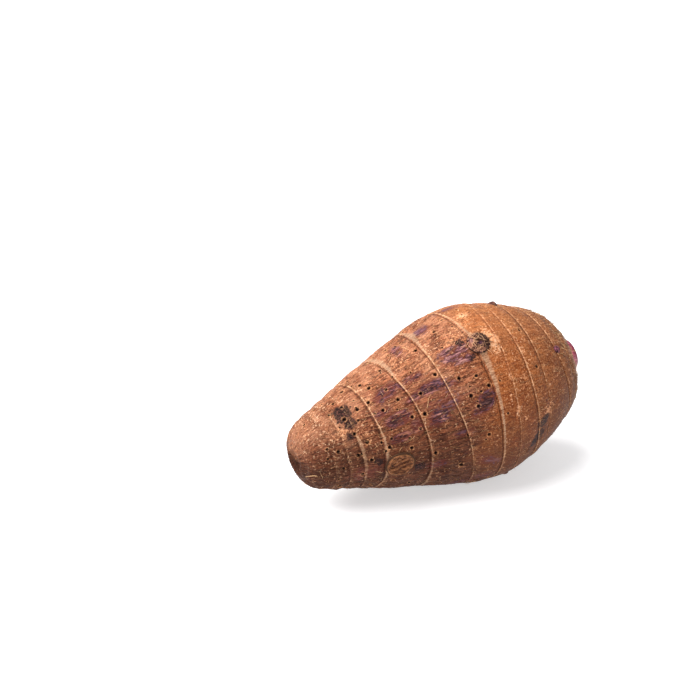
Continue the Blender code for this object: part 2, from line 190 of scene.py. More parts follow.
# Root scars: the clearest ones, then how many more lie between one ring and the next, and how far they keep
# from each other, from growths and from the surface that the corm lies on
CLEAR_ROOT_SCARS = ((26, 53), (30, 67), (30, 88), (38, 29), (42, 16), (42, 43), (48, 27), (49, 85), (53, 59),
                    (61, 44), (80, 46), (82, 60), (86, 90), (88, 49), (92, 58), (122, 29))
ROOT_SCARS_BETWEEN = (6, 7, 8, 10, 9, 7, 7, 12, 2, 2, 1)
ROOT_SCAR_SEED = 27
ROOT_SCAR_CLEARANCE = 5.0
GROWTH_CLEARANCE = 9.0
REST_CLEARANCE = 6.0
# Smaller root scars, seen and spread at random
SMALL_ROOT_SCARS = ((25, 3), (27, 16), (33, 18), (32, 27), (51, 9), (48, 48), (30, 41), (36, 72), (26, 79),
                    (42, 63), (37, 82), (49, 76), (55, 71), (83, 54), (84, 65), (54, 19), (60, 356), (62, 25),
                    (86, 0), (91, 358), (92, 9), (91, 338), (66, 352), (56, 341), (81, 21), (37, 0),
                    (36, 330), (101, 2))
SMALL_ROOT_SCAR_COUNT = 46
# Radii and rim heights of both sizes of root scar, and their depth as a share of the radius
RootScar = namedtuple("RootScar", "place angle radius depth rim")
ScarSize = namedtuple("ScarSize", "radii rims depth")
LARGE_SCAR = ScarSize((0.75, 1.0), (0.12, 0.3), 1.7)
SMALL_SCAR = ScarSize((0.42, 0.72), (0.05, 0.18), 1.2)

# Stains and scuffs: place, angle in degrees, half length, half width in mm, slant in degrees, strength
Patch = namedtuple("Patch", "place angle length width slant strength")
PURPLE_PATCHES = [Patch(*row) for row in (
    (84, 31, 7.5, 4.2, 8, 1), (84, 25.5, 6, 1.6, 4, 1.35), (88.6, 36.5, 2.2, 1.8, 0, 1.2),
    (88, 67, 5.2, 2.9, -42, 2.3), (79.6, 356, 4.4, 3, 0, 1), (66, 43, 6.5, 2.6, 0, 1.2),
    (57.2, 45, 3.8, 2, -15, 1.1), (46.8, 30, 6, 3, -10, 1.1), (46.7, 56, 5.4, 2.8, -5, 1.6),
    (40, 45, 5, 2, 0, 0.7), (71, 58, 8, 4.6, 0, 0.55), (65, 66, 5, 3.6, -20, 1), (73, 46, 7, 2.4, 10, 0.75),
    (61.4, 30, 4.6, 1.8, 0, 0.95), (64.1, 358, 2.4, 4.6, 0, 0.9), (54, 30, 4, 1.2, 60, 0.8),
    (45, 73, 4.2, 1.7, -10, 2), (75, 84, 5, 2, 0, 0.55), (99.5, 346, 6.5, 2.6, 0, 0.7),
    (81.6, 72, 2.6, 1.4, -30, 0.8), (53.8, 67, 3, 3.6, 0, 0.65),
)]
PURPLE_PATCH_COUNT = 16
PURPLE_PATCH_PLACES = (18.0, 92.0)
PURPLE_PATCH_LENGTHS = (3.5, 9.0)
FAR_SIDE = (105.0, 335.0)
SCABS = [Patch(*row) for row in (
    (89, 24, 2.2, 2.4, -30, 0.8), (90.6, 37, 1.6, 2.4, 40, 0.8), (118, 98, 3.8, 2.2, -45, 1.5),
    (114.6, 110, 5.6, 2.4, -38, 1.4), (25.4, 24, 4, 4.2, 10, 1.5), (26, 40, 3, 2.4, 0, 1.2),
    (24, 54, 2.6, 1.8, 0, 0.9), (52, 106, 3.4, 2.4, 0, 0.9), (101, 172, 4.4, 2.8, 20, 1.1),
    (131, 232, 3.4, 2, 0, 1), (36, 250, 4, 3, 0, 1.1), (33, 92, 3, 2, 0, 0.8),
)]
PALE_PATCHES = [Patch(*row) for row in (
    (103.4, 32, 3, 7.5, 0, 1.3), (100.6, 3, 3.5, 2.6, 0, 1.25), (121.4, 92, 3.6, 2.2, -40, 1.1),
    (88, 20, 7, 6, 0, 0.5), (95.5, 12, 4.4, 4, 0, 0.55), (62, 8, 8, 6, 0, 0.45), (111, 62, 5, 3.2, 0, 0.45),
    (68, 25, 4, 3, 0, 0.45), (83, 243, 7, 5, 0, 0.6), (120, 205, 8, 5, 0, 0.4), (30, 60, 5, 4, 0, 0.45),
    (105.6, 31, 1.2, 2.6, 0, 1.5), (104, 58, 0.9, 3, 0, 0.9), (103, 81, 1.4, 2.4, 20, 0.85),
    (107, 88, 1.3, 1.4, 0, 0.8), (112, 62, 1.2, 1.6, 0, 0.75), (101, 70, 0.9, 2.4, 0, 0.8),
    (104, 236, 1.4, 4, 0, 0.9), (110, 160, 1.2, 3.8, 0, 0.9), (127, 300, 1.2, 3, 0, 0.85),
    (22, 46, 7, 3, 10, 0.6), (84, 30, 8, 5.5, 8, 0.4), (61.4, 30, 5, 2.5, 0, 0.35),
    (66, 66, 3, 2.4, 0, 0.3),
)]
PATCH_SEED = 5

# Outer leaf stalk, radius and place on the axis in mm: from the cut end down its outside, over the cut, and
# up its bore, then the radii of its foot and of the floor of the bore
STALK_OUTSIDE = ((8.2, 162.4), (8.6, 160.6), (9.2, 158.5), (10.2, 156.6), (11.5, 155.3), (12.2, 154.6),
                 (12.2, 154.1), (11.9, 153.5))
STALK_CUT = ((8.0, 162.38), (7.0, 162.3), (6.0, 162.34))
STALK_BORE = ((4.9, 156.6), (5.1, 159.0), (5.5, 162.4))
STALK_FOOT = (1.5, 11.0)
STALK_FLOOR = (4.0, 1.0)
# The step where the outer stalk wraps over itself, its angle, and how far the cut end sags
STALK_WRAP = 0.5
STALK_WRAP_ANGLE = math.radians(150.0)
STALK_SAG = 1.6
SEAT_FLOOR = 153.2
# Inner leaf stalk: its outline, how far it is pressed in, and the width and depth of a turn of its roll
INNER_STALK = ((0.0, 162.0), (3.6, 162.1), (4.7, 161.8), (4.7, 159.0), (4.5, 156.9), (0.0, 156.9))
INNER_FOLD = 0.35
INNER_ROLL = 1.5
INNER_SEAM = 0.35 * MM
# Dried lines along the edges of the outer stalk's cut, by radius, and the depth of the bumps in the finishes
CUT_OUTER_LINE = (7.6, 8.0)
CUT_INNER_LINE = (5.6, 5.9)
STALK_BUMP = 0.2 * MM
CORE_BUMP = 0.25 * MM

# Rows of random heights, after which a noise starts again
NOISE_ROWS = 997


def colour(red, green, blue, light=STUDIO_LIGHT):
    """A colour given as it shows on a screen under a light, from 0 to 255, as the share that it reflects."""
    linear = []
    for share in (red / 255, green / 255, blue / 255):
        linear.append((share / 12.92 if share <= 0.04045 else ((share + 0.055) / 1.055) ** 2.4) / light)
    return tuple(linear)


def bell(distance, width):
    """1 at no distance, fading to 0 past the width."""
    return np.exp(-((distance / width) ** 2))


def ease(value, low=0.0, high=1.0):
    """0 up to low, 1 from high on, and smooth between them."""
    share = np.clip((value - low) / (high - low), 0.0, 1.0)
    return share * share * (3.0 - 2.0 * share)


def noise(along, turn, cells_round, seed):
    """Smooth noise from -1 to 1, in cells that are 1 long and a whole part of a turn wide."""
    heights = np.random.default_rng(seed).uniform(-1.0, 1.0, (NOISE_ROWS, cells_round))
    across = turn * cells_round
    row = np.floor(along).astype(int)
    column = np.floor(across).astype(int)
    down = ease(along - row)
    over = ease(across - column)
    near = heights[row % NOISE_ROWS, column % cells_round] * (1.0 - over)
    near += heights[row % NOISE_ROWS, (column + 1) % cells_round] * over
    far = heights[(row + 1) % NOISE_ROWS, column % cells_round] * (1.0 - over)
    far += heights[(row + 1) % NOISE_ROWS, (column + 1) % cells_round] * over
    return near * (1.0 - down) + far * down


def running(steps):
    """Sums of steps so far, from 0."""
    return np.concatenate(([0.0], np.cumsum(steps)))


def outline_table():
    """Places along the axis, with the plain corm's radius and the length of its outline, all in mm."""
    length = CORM_LENGTH / MM
    places = np.linspace(0.0, length, OUTLINE_POINTS)
    shares = np.zeros(len(places))
    for at, radius in OUTLINE:
        term = np.full(len(places), radius ** 2 / (at * (length - at)))
        for other, _ in OUTLINE:
            if other != at:
                term *= (places - other) / (at - other)
        shares += term
    radii = np.sqrt(places * (length - places) * np.maximum(shares, 0.0))
    return places, radii, running(np.hypot(np.diff(places), np.diff(radii)))


PLACES, RADII, ARCS = outline_table()


def radius_at(place):
    """Radius of the plain corm at a place on its axis, in mm."""
    return np.interp(place, PLACES, RADII)


def arc_at(place):
    """Length of the outline from the tail end to a place on the axis, in mm."""
    return np.interp(place, PLACES, ARCS)


def outline_normal(place):
    """Outward direction of the outline, as its share along the axis and its share away from it."""
    slope = radius_at(place + 0.5) - radius_at(place - 0.5)
    length = np.hypot(1.0, slope)
    return -slope / length, 1.0 / length


def ring_wave(ring, angle):
    """The small unevenness of a ring's edge, in mm."""
    size = RING_WAVE / MM * min(ring.depth, 1.0)
    return size * (0.6 * np.sin(3 * angle + ring.place) + 0.4 * np.sin(7 * angle + 2 * ring.place))


def ring_lean(row, angle):
    """How far the rows near a place are moved along the axis, so that they follow the leaning rings."""
    knots = [(0.0, np.zeros(row.shape))]
    for ring in RINGS:
        lean = ring.lean_top * np.cos(angle) + ring.lean_side * np.sin(angle) + ring_wave(ring, angle)
        knots.append((ring.place, lean))
    knots.append((SHOULDER, np.zeros(row.shape)))
    total = np.zeros(row.shape)
    for (start, first), (end, second) in zip(knots, knots[1:]):
        share = (row - start) / (end - start)
        inside = (share >= 0.0) & (share < 1.0)
        total[inside] = (first + (second - first) * share)[inside]
    return total


def ring_relief(row, angle):
    """Groove and raised lip of every ring, and the slight bulge between rings, in mm."""
    height = np.zeros(row.shape)
    for ring in RINGS:
        offset = row - ring.place
        fade = 0.85 + 0.15 * np.sin(2 * angle + ring.place)
        lip = LIP_SHARE * ease(offset, *LIP_RISE) * np.exp(-np.maximum(offset - LIP_RISE[1], 0.0) / LIP_FADE)
        height += ring.depth * fade * (lip - GROOVE_SHARE * bell(offset - GROOVE_PLACE, GROOVE_WIDTH))
    strong = [ring.place for ring in RINGS if ring.depth >= STRONG_RING]
    for start, end in zip(strong, strong[1:]):
        share = (row - start) / (end - start)
        height += BULGE / MM * np.where((share > 0.0) & (share < 1.0), np.sin(np.pi * share), 0.0)
    return height


def lobe_relief(place, angle):
    """The broad unevenness of the whole corm, in mm."""
    along = place * MM / CORM_LENGTH
    waves = np.cos(2 * angle - 1.2 + 3.0 * along) + 0.6 * np.cos(3 * angle + 2.0 - 5.0 * along)
    return LOBE / MM * waves * np.sin(np.pi * along)


def turn_from(angle, degrees):
    """Angle from a mark that lies at an angle in degrees, the short way round."""
    turn = angle - math.radians(degrees)
    return np.arctan2(np.sin(turn), np.cos(turn))


def skin_distance(place, angle, spot):
    """Rough distance over the skin from a place to a spot, in mm."""
    return np.hypot(place - spot.place, turn_from(angle, spot.angle) * radius_at(place))


def plain_relief(row, place, angle):
    """Relief of the skin without its finest marks, in mm."""
    height = ring_relief(row, angle) + lobe_relief(place, angle)
    for swelling in SWELLINGS:
        height += swelling.height * bell(skin_distance(place, angle, swelling), swelling.width)
    return height


def axis_points(place, radius, angle):
    """Points at places on the axis, a radius from it and an angle round it, in the corm's own axes."""
    return np.stack((place + 0.0 * angle, -radius * np.sin(angle), radius * np.cos(angle)), axis=-1)


def raised_points(place, angle, height):
    """Points of the skin that stand a height out of the plain corm."""
    along, away = outline_normal(place)
    return axis_points(place + height * along, radius_at(place) + height * away, angle)


def lying_matrix():
    """From the corm's own axes to the world, where it rests with its head raised."""
    return Matrix.Translation(TAIL_END) @ Matrix.Rotation(-HEAD_RAISED, 4, "Y")


def moved_by(matrix, points):
    """Points moved by a matrix."""
    rows = np.array(matrix)
    return points @ rows[:3, :3].T + rows[:3, 3]


def laid(points):
    """Points in the corm's own axes in mm, as points of the world in metres."""
    return moved_by(lying_matrix(), points * MM)


def rest_height(place, angle):
    """Height of the skin above the surface that the corm lies on, in mm."""
    row = np.array([place], float)
    turn = np.array([angle], float)
    moved = row + ring_lean(row, turn)
    return float(laid(raised_points(moved, turn, plain_relief(row, moved, turn)))[0, 2]) / MM


def is_clear(spot, taken):
    """True where a root scar has room: clear of other marks and of the flat spot."""
    angle = math.radians(spot.angle)
    if rest_height(spot.place, angle) < REST_CLEARANCE:
        return False
    for other in taken:
        room = ROOT_SCAR_CLEARANCE if other.radius == 0.0 else GROWTH_CLEARANCE
        if skin_distance(spot.place, angle, other) < room:
            return False
    return True


def large_root_scar_spots():
    """Places of the large root scars, the same as in the solid."""
    draw = random.Random(ROOT_SCAR_SEED)
    spots = [Growth(place, angle, 0.0) for place, angle in CLEAR_ROOT_SCARS]
    taken = [*FIBRE_BUDS, *SMALL_BUDS, *CUT_SCARS, *spots]
    for first, second, count in zip(RINGS, RINGS[1:], ROOT_SCARS_BETWEEN):
        start_turn = draw.uniform(0.0, 360.0)
        for number in range(count):
            share = draw.uniform(0.3, 0.8)
            turn = start_turn + 360.0 * (number + draw.uniform(-0.35, 0.35)) / count
            spot = Growth(first.place + share * (second.place - first.place), turn % 360.0, 0.0)
            if is_clear(spot, taken):
                taken.append(spot)
                spots.append(spot)
    return spots


def root_scars():
    """All root scars: the large ones of the solid, and smaller ones."""
    draw = random.Random(ROOT_SCAR_SEED + 1)
    scars = []

    def add_scar(spot, size):
        radius = draw.uniform(*size.radii)
        scars.append(RootScar(spot.place, spot.angle, radius, size.depth * radius, draw.uniform(*size.rims)))

    for spot in large_root_scar_spots():
        add_scar(spot, LARGE_SCAR)
    spots = [Growth(place, angle, 0.0) for place, angle in SMALL_ROOT_SCARS]
    for _ in range(SMALL_ROOT_SCAR_COUNT):
        place = 8.0 + 96.0 * draw.random() ** 1.3
        spots.append(Growth(place, draw.uniform(0.0, 360.0), 0.0))
    for spot in spots:
        add_scar(spot, SMALL_SCAR)
    return scars


def spread_patches(count, seed, places, lengths):
    """Patches at random on the side that faces away."""
    draw = random.Random(seed)
    patches = []
    for _ in range(count):
        place = draw.uniform(*places)
        angle = draw.uniform(*FAR_SIDE)
        length = draw.uniform(*lengths)
        slant = draw.uniform(-30, 30)
        patches.append(Patch(place, angle, length, 0.45 * length, slant, draw.uniform(0.4, 0.75)))
    return patches


def patch_field(arc, radius, angle, patches):
    """The strongest of some patches at every point, from 0 to their strength."""
    field = np.zeros(arc.shape)
    for patch in patches:
        across = turn_from(angle, patch.angle) * radius
        along = arc - arc_at(patch.place)
        slant = math.radians(patch.slant)
        far = (along * math.cos(slant) + across * math.sin(slant)) / patch.length
        aside = (across * math.cos(slant) - along * math.sin(slant)) / patch.width
        field = np.maximum(field, patch.strength * np.exp(-0.7 * (far ** 2 + aside ** 2) ** 1.4))
    return field


def edge_width(ring, angle):
    """Width of a ring's pale edge at every angle, in mm."""
    plain = PLAIN_EDGE + EDGE_BY_DEPTH * ring.depth
    if ring.place not in WIDE_EDGES:
        return np.full(angle.shape, plain)
    return round_ring(WIDE_EDGES[ring.place], angle)


def round_ring(knots, angle):
    """Values given at a few angles in degrees, at every angle."""
    turns, values = zip(*knots)
    return np.interp(np.degrees(angle) % 360.0, turns, values, period=360.0)


def swept(values, columns):
    """Values down the rows and shares of a turn over the columns, as grids, and the turns as angles."""
    value, turn = np.meshgrid(values, np.arange(columns + 1) / columns, indexing="ij")
    return value, turn, turn * 2.0 * np.pi


def flow_of(along, angle, radius=FLOW_RADIUS):
    """What finishes read as the skin's own directions: a length along it and a circle round it, in mm."""
    return np.stack((along, radius * np.cos(angle), radius * np.sin(angle)), axis=-1)


class SkinSheet:
    """Rows and columns of points on the skin, with all that varies from point to point."""

    def __init__(self, rows, columns, settings):
        self.row, self.turn, self.angle = swept(rows, columns)
        self.settings = settings
        self.place = self.row + ring_lean(self.row, self.angle)
        self.arc = arc_at(self.place)
        self.radius = radius_at(self.place)
        self.measure_rings()
        self.measure_root_scars()
        self.measure_texture()

    def measure_rings(self):
        """Where the pale edge, the painted shade of the groove and the hatch past each ring are."""
        self.edge = np.full(self.row.shape, -1.0)
        self.groove_shade = np.full(self.row.shape, -1.0)
        self.hatch = np.zeros(self.row.shape)
        self.line = np.zeros(self.row.shape)
        self.band = np.zeros(self.row.shape)
        for ring in RINGS:
            offset = self.row - ring.place
            width = edge_width(ring, self.angle)
            across = (offset - EDGE_START) / width
            self.edge = np.maximum(self.edge, np.minimum(across / 0.4, (1.0 - across) / 0.6))
            self.groove_shade = np.maximum(self.groove_shade, 1.0 - np.abs(offset - GROOVE_PLACE) / 0.5)
            fade = np.where(offset > 0.0, np.exp(-offset / HATCH_FADE), 0.0)
            fade = fade * (1.0 - ease(offset, *HATCH_END))
            self.hatch = np.maximum(self.hatch, fade * min(1.0, ring.depth / 0.6))
            clear = ring.line * round_ring(LINE_FADES.get(ring.place, ((0, 1.0),)), self.angle)
            self.line = np.maximum(self.line, clear * bell(offset, 3.5))
            self.band = np.maximum(self.band, ease(width, *BAND_WIDTHS) * bell(offset, 6.0))

    def measure_root_scars(self):
        """Distance to the nearest root scar in its radii, and the relief of the root scars."""
        self.root_scar = np.full(self.row.shape, 3.0)
        self.root_scar_relief = np.zeros(self.row.shape)
        for scar in root_scars():
            across = turn_from(self.angle, scar.angle) * self.radius
            share = np.hypot(self.arc - arc_at(scar.place), across) / scar.radius
            self.root_scar = np.minimum(self.root_scar, share)
            self.root_scar_relief -= scar.depth * (1.0 - ease(share, 0.3, 1.1))
            self.root_scar_relief += scar.rim * bell(share - 1.5, 0.4)

    def noise(self, cell, cells_round, seed, wander=0.0):
        """Noise over the skin, in cells of a length in mm and a number round the corm."""
        return noise(self.arc / cell, self.turn + wander, cells_round, seed)

    def measure_texture(self):
        """The wrinkles along the skin, its small unevenness, and where the older skin of the tail is."""
        wander = 0.010 * self.noise(13.0, 14, 1) + 0.0035 * self.noise(4.0, 44, 2)
        coarse = self.noise(6.5, 170, 3, wander)
        fine = self.noise(3.6, 310, 4, wander)
        self.wrinkle = 1.0 - 2.0 * np.abs(0.65 * coarse + 0.35 * fine) ** 0.7
        self.unevenness = self.noise(2.6, 90, 5) + 0.5 * self.noise(1.3, 190, 6)
        golden = 16.0 * bell(self.angle - math.radians(104.0), math.radians(30.0))
        self.tail_share = 1.0 - ease(self.row + golden + 4.0 * self.noise(9.0, 20, 7), *TAIL_SKIN_END)
        belly = bell(self.row - 70.0, 22.0)
        self.wrinkle_height = 0.25 + 0.45 * self.tail_share + 0.6 * belly * self.tail_share

    def points(self):
        """The points, in the world."""
        calm = 1.0 - 0.7 * np.clip(self.edge + 0.3, 0.0, 1.0)
        height = plain_relief(self.row, self.place, self.angle) + self.root_scar_relief
        height += self.settings.wrinkle_height / MM * self.wrinkle_height * self.wrinkle * calm
        height += self.settings.unevenness / MM * (0.4 + 0.6 * self.tail_share) * self.unevenness * calm
        points = laid(raised_points(self.place, self.angle, height))
        points[..., 2] = np.maximum(points[..., 2], 0.0)
        return points

    def attributes(self):
        """What the skin's finish reads, by name, three numbers a point."""
        spread = spread_patches(PURPLE_PATCH_COUNT, PATCH_SEED, PURPLE_PATCH_PLACES, PURPLE_PATCH_LENGTHS)
        stains = [patch_field(self.arc, self.radius, self.angle, patches)
                  for patches in ([*PURPLE_PATCHES, *spread], SCABS, PALE_PATCHES)]
        return {
            "flow": flow_of(self.arc, self.angle),
            "rings": np.stack((self.edge, self.groove_shade, self.line), axis=-1),
            "stains": np.stack(stains, axis=-1),
            "marks": np.stack((self.root_scar, self.wrinkle, self.radius), axis=-1),
            "zones": np.stack((self.tail_share, self.hatch, self.band), axis=-1),
        }


def end_sheet(profile, columns, beyond, is_crown):
    """Points and attributes of an end of the corm, from its profile in mm."""
    radii, places, steps = stepped(np.array(profile), END_STEP)
    length = steps[-1]
    step, turn, angle = swept(steps, columns)
    arc = beyond + step if is_crown else beyond - (length - step)
    rough = noise(step / 1.1, turn, 60, 11) + 0.6 * noise(step / 0.5, turn, 130, 12)
    depth = CROWN_ROUGHNESS if is_crown else TAIL_ROUGHNESS
    fade = ease(step, 0.0, 1.5) if is_crown else 1.0 - ease(step, length - 1.5, length)
    place = places[:, None] + depth * rough * fade
    points = laid(axis_points(place, radii[:, None] * np.ones(turn.shape), angle))
    blank = np.zeros(turn.shape)
    attributes = {
        "flow": flow_of(arc, angle),
        "rings": np.stack((blank - 1.0, blank - 1.0, blank), axis=-1),
        "stains": np.stack((blank, blank + (0.0 if is_crown else 0.25), blank), axis=-1),
        "marks": np.stack((blank + 3.0, rough, radii[:, None] + blank), axis=-1),
        "zones": np.stack((blank + (0.0 if is_crown else 1.0), blank, blank), axis=-1),
    }
    return points, attributes


def stretch_rows(stretch):
    """Rows of a stretch of skin, closer together at the rings."""
    start = TAIL_START if stretch.first is None else stretch.first + GROOVE_PLACE
    end = SHOULDER if stretch.last is None else stretch.last + GROOVE_PLACE
    places = np.linspace(start, end, 4001)
    density = np.ones(len(places))
    for ring in RINGS:
        offset = places - ring.place
        density[(offset > RING_REACH[0]) & (offset < RING_REACH[1])] = RING_DENSITY
    counted = running(np.diff(arc_at(places)) * 0.5 * (density[1:] + density[:-1]))
    rows = np.interp(np.linspace(0.0, counted[-1], stretch.rows), counted, places)
    for ring in RINGS:
        for offset in RING_ROWS:
            if rows[2] < ring.place + offset < rows[-3]:
                rows[np.argmin(np.abs(rows - ring.place - offset))] = ring.place + offset
    return rows


def stretch_sheet(stretch, settings):
    """Points and attributes of a stretch of skin, with the tail's or the crown's end where it has one."""
    sheet = SkinSheet(stretch_rows(stretch), stretch.columns, settings)
    points = sheet.points()
    attributes = sheet.attributes()
    if stretch.first is None:
        end, marks = end_sheet(TAIL_PROFILE, stretch.columns, arc_at(TAIL_START) - END_STEP, False)
        points = np.concatenate((end, points))
        attributes = {name: np.concatenate((marks[name], attributes[name])) for name in attributes}
    if stretch.last is None:
        end, marks = end_sheet(CROWN_PROFILE, stretch.columns, arc_at(SHOULDER) + END_STEP, True)
        points = np.concatenate((points, end))
        attributes = {name: np.concatenate((attributes[name], marks[name])) for name in attributes}
    return points, attributes


def sheet_faces(rows, columns):
    """Faces of a sheet whose last column is its first again, with a point to close each end."""
    row, column = np.meshgrid(np.arange(rows - 1), np.arange(columns), indexing="ij")
    after = (column + 1) % columns
    quads = np.stack((row * columns + column, row * columns + after,
                      (row + 1) * columns + after, (row + 1) * columns + column), axis=-1).reshape(-1, 4)
    around = np.arange(columns)
    start = np.stack((around, np.full(columns, rows * columns), (around + 1) % columns), axis=-1)
    end = np.stack((around, (around + 1) % columns, np.full(columns, rows * columns + 1)), axis=-1)
    end[:, :2] += (rows - 1) * columns
    return quads, start, end


def fill_mesh(mesh, points, quads, triangles):
    """Give an empty mesh its points and faces."""
    mesh.vertices.add(len(points))
    mesh.vertices.foreach_set("co", points.astype(np.float32).ravel())
    corners = np.concatenate((quads.ravel(), triangles.ravel())).astype(np.int32)
    mesh.loops.add(len(corners))
    mesh.loops.foreach_set("vertex_index", corners)
    sizes = np.concatenate((np.full(len(quads), 4), np.full(len(triangles), 3)))
    mesh.polygons.add(len(sizes))
    mesh.polygons.foreach_set("loop_start", running(sizes[:-1]).astype(np.int32))
    mesh.update(calc_edges=True)
    mesh.shade_smooth()
    return corners


def add_attribute(mesh, name, values):
    """Store three numbers a point on a mesh."""
    attribute = mesh.attributes.new(name, "FLOAT_VECTOR", "POINT")
    attribute.data.foreach_set("vector", values.astype(np.float32).ravel())


def add_map(mesh, places):
    """Store where every corner of a mesh lies in its flat map."""
    layer = mesh.uv_layers.new(name="OFBake")
    layer.uv.foreach_set("vector", places.astype(np.float32).ravel())


def sheet_mesh(name, points, attributes):
    """A closed mesh of a sheet of points in rows and columns, whose last column repeats the first."""
    rows, columns = points.shape[0], points.shape[1] - 1
    quads, start, end = sheet_faces(rows, columns)
    kept = points[:, :-1].reshape(-1, 3)
    centres = np.stack((points[0, :-1].mean(axis=0), points[-1, :-1].mean(axis=0)))
    mesh = bpy.data.meshes.new(name)
    corners = fill_mesh(mesh, np.concatenate((kept, centres)), quads, np.concatenate((start, end)))
    for label, values in attributes.items():
        ends = np.stack((values[0, 0], values[-1, 0]))
        add_attribute(mesh, label, np.concatenate((values[:, :-1].reshape(-1, 3), ends)))
    add_map(mesh, sheet_map(corners, points, rows, columns))
    return mesh


def sheet_map(corners, points, rows, columns):
    """The sheet laid out flat, its rows spaced as they are on the skin."""
    reach = running(np.linalg.norm(np.diff(points[:, 0], axis=0), axis=-1))
    down = 0.02 + 0.96 * reach / reach[-1]
    row_of = np.concatenate((np.repeat(down, columns), (0.004, 0.996)))
    column_of = np.concatenate((np.tile(np.arange(columns) / columns, rows), (0.5, 0.5)))
    places = np.stack((column_of[corners], row_of[corners]), axis=-1)
    quad_corners = (rows - 1) * columns * 4
    last = np.arange(quad_corners).reshape(-1, 4)[columns - 1::columns]
    places[last[:, 1:3].ravel(), 0] = 1.0
    return places


def show_piece(name, mesh, material, slot, *nodes):
    """Add a piece that rides on the corm and stands for nodes of the frame."""
    mesh.materials.append(material)
    piece = bpy.data.objects.new(name, mesh)
    bpy.context.scene.collection.objects.link(piece)
    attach(piece, BODY)
    if nodes:
        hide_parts(*nodes)


class Link:
    """An output socket of a finish, on which Python's arithmetic adds Math nodes."""

    def __init__(self, finish, socket):
        self.finish = finish
        self.socket = socket

    def __add__(self, other):
        return self.finish.math("ADD", self, other)

    def __sub__(self, other):
        return self.finish.math("SUBTRACT", self, other)

    def __mul__(self, other):
        return self.finish.math("MULTIPLY", self, other)

    def __rsub__(self, other):
        return self.finish.math("SUBTRACT", other, self)

    __radd__ = __add__
    __rmul__ = __mul__


class Finish:
    """A material with a Principled shader, and the nodes that feed it."""

    def __init__(self, name):
        self.material = bpy.data.materials.new(name)
        self.material.use_nodes = True
        self.tree = self.material.node_tree
        self.shader = self.tree.nodes["Principled BSDF"]

    def feed(self, socket, value):
        """Link a value to a socket, or set it there."""
        if isinstance(value, Link):
            self.tree.links.new(value.socket, socket)
        elif socket.type == "RGBA":
            socket.default_value = (*value, 1.0)
        else:
            socket.default_value = value

    def node(self, kind, settings, sockets, output=0):
        """Any node: its type, its settings, then the values or links of its sockets."""
        made = self.tree.nodes.new("ShaderNode" + kind)
        for name, value in settings.items():
            setattr(made, name, value)
        for key, value in sockets.items():
            self.feed(made.inputs[key], value)
        return Link(self, made.outputs[output])

    def math(self, operation, *values):
        """A Math node."""
        return self.node("Math", {"operation": operation}, dict(enumerate(values)))

    def rise(self, value, low, high):
        """0 up to low, 1 from high on, and smooth between them."""
        settings = {"interpolation_type": "SMOOTHSTEP"}
        return self.node("MapRange", settings, {0: value, 1: low, 2: high, 3: 0.0, 4: 1.0})

    def fall(self, value, low, high):
        """1 up to low, 0 from high on, and smooth between them."""
        return 1.0 - self.rise(value, low, high)

    def hump(self, value, low, high, edge):
        """1 between low and high, and 0 an edge away on either side."""
        return self.rise(value, low - edge, low) * self.fall(value, high, high + edge)

    def mix(self, share, first, second):
        """A colour between two colours."""
        settings = {"data_type": "RGBA", "blend_type": "MIX", "clamp_factor": True}
        return self.node("Mix", settings, {0: share, 6: first, 7: second}, 2)

    def paint(self, base, over, value, low, high, *shares):
        """A colour laid over a base as a value rises from low to high, as thinly as the shares say."""
        cover = self.rise(value, low, high)
        for share in shares:
            cover = cover * share
        return self.mix(cover, base, over)

    def attribute(self, name):
        """An attribute of the mesh, as a vector."""
        return self.node("Attribute", {"attribute_type": "GEOMETRY", "attribute_name": name}, {}, 1)

    def parts(self, vector):
        """The three numbers of a vector."""
        split = self.node("SeparateXYZ", {}, {0: vector})
        return [Link(self, output) for output in split.socket.node.outputs]

    def scaled(self, vector, by):
        """A vector times a vector."""
        return self.node("VectorMath", {"operation": "MULTIPLY"}, {0: vector, 1: by})

    def noise(self, vector, detail=2.0, roughness=0.5, distortion=0.0):
        """Noise in cells of size 1, from about 0.25 to 0.75."""
        sockets = {"Vector": vector, "Scale": 1.0, "Detail": detail, "Roughness": roughness,
                   "Distortion": distortion}
        return self.node("TexNoise", {}, sockets)

    def cells(self, vector, output=0):
        """Cells of size 1: the distance to the middle of each, or with output 1 a colour for each."""
        return self.node("TexVoronoi", {}, {"Vector": vector, "Scale": 1.0}, output)

    def place(self, cell):
        """Place in the world in cells of a size in mm."""
        point = self.node("TexCoord", {}, {}, 3)
        return self.scaled(point, (1.0 / MM / cell,) * 3)

    def along(self, flow, length, width, shift=(0.0, 0.0, 0.0)):
        """The skin's own directions, in cells of a length and a width in mm."""
        cells = self.scaled(flow, (1.0 / length, 1.0 / width, 1.0 / width))
        return self.node("VectorMath", {"operation": "ADD"}, {0: cells, 1: shift})

    def bump(self, height, distance):
        """A bumped normal; height is from 0 to 1 and distance in metres."""
        return self.node("Bump", {}, {"Strength": 1.0, "Distance": distance, "Height": height})

    def finished(self, base, roughness, normal, **constants):
        """Feed the shader and give back the material."""
        self.feed(self.shader.inputs["Base Color"], base)
        self.feed(self.shader.inputs["Roughness"], roughness)
        self.feed(self.shader.inputs["Normal"], normal)
        for name, value in constants.items():
            self.shader.inputs[name.replace("_", " ")].default_value = value
        return self.material


# Noises that run along the skin: the length and width of their cells in mm, and a shift that sets them apart
FINE_CELLS = (2.6, 0.42, 7.0)
GRAIN_CELLS = (6.5, 1.5, 0.0)
RIDGE_CELLS = (5.0, 1.05, 9.0)
STREAK_CELLS = (15.0, 2.8, 4.0)
STROKE_CELLS = (8.0, 1.5, 2.0)
CREVICE_CELLS = (8.0, 2.1, 5.0)
THREAD_CELLS = (10.0, 1.6, 11.0)
CROWN_CELLS = (2.5, 1.1, 3.0)

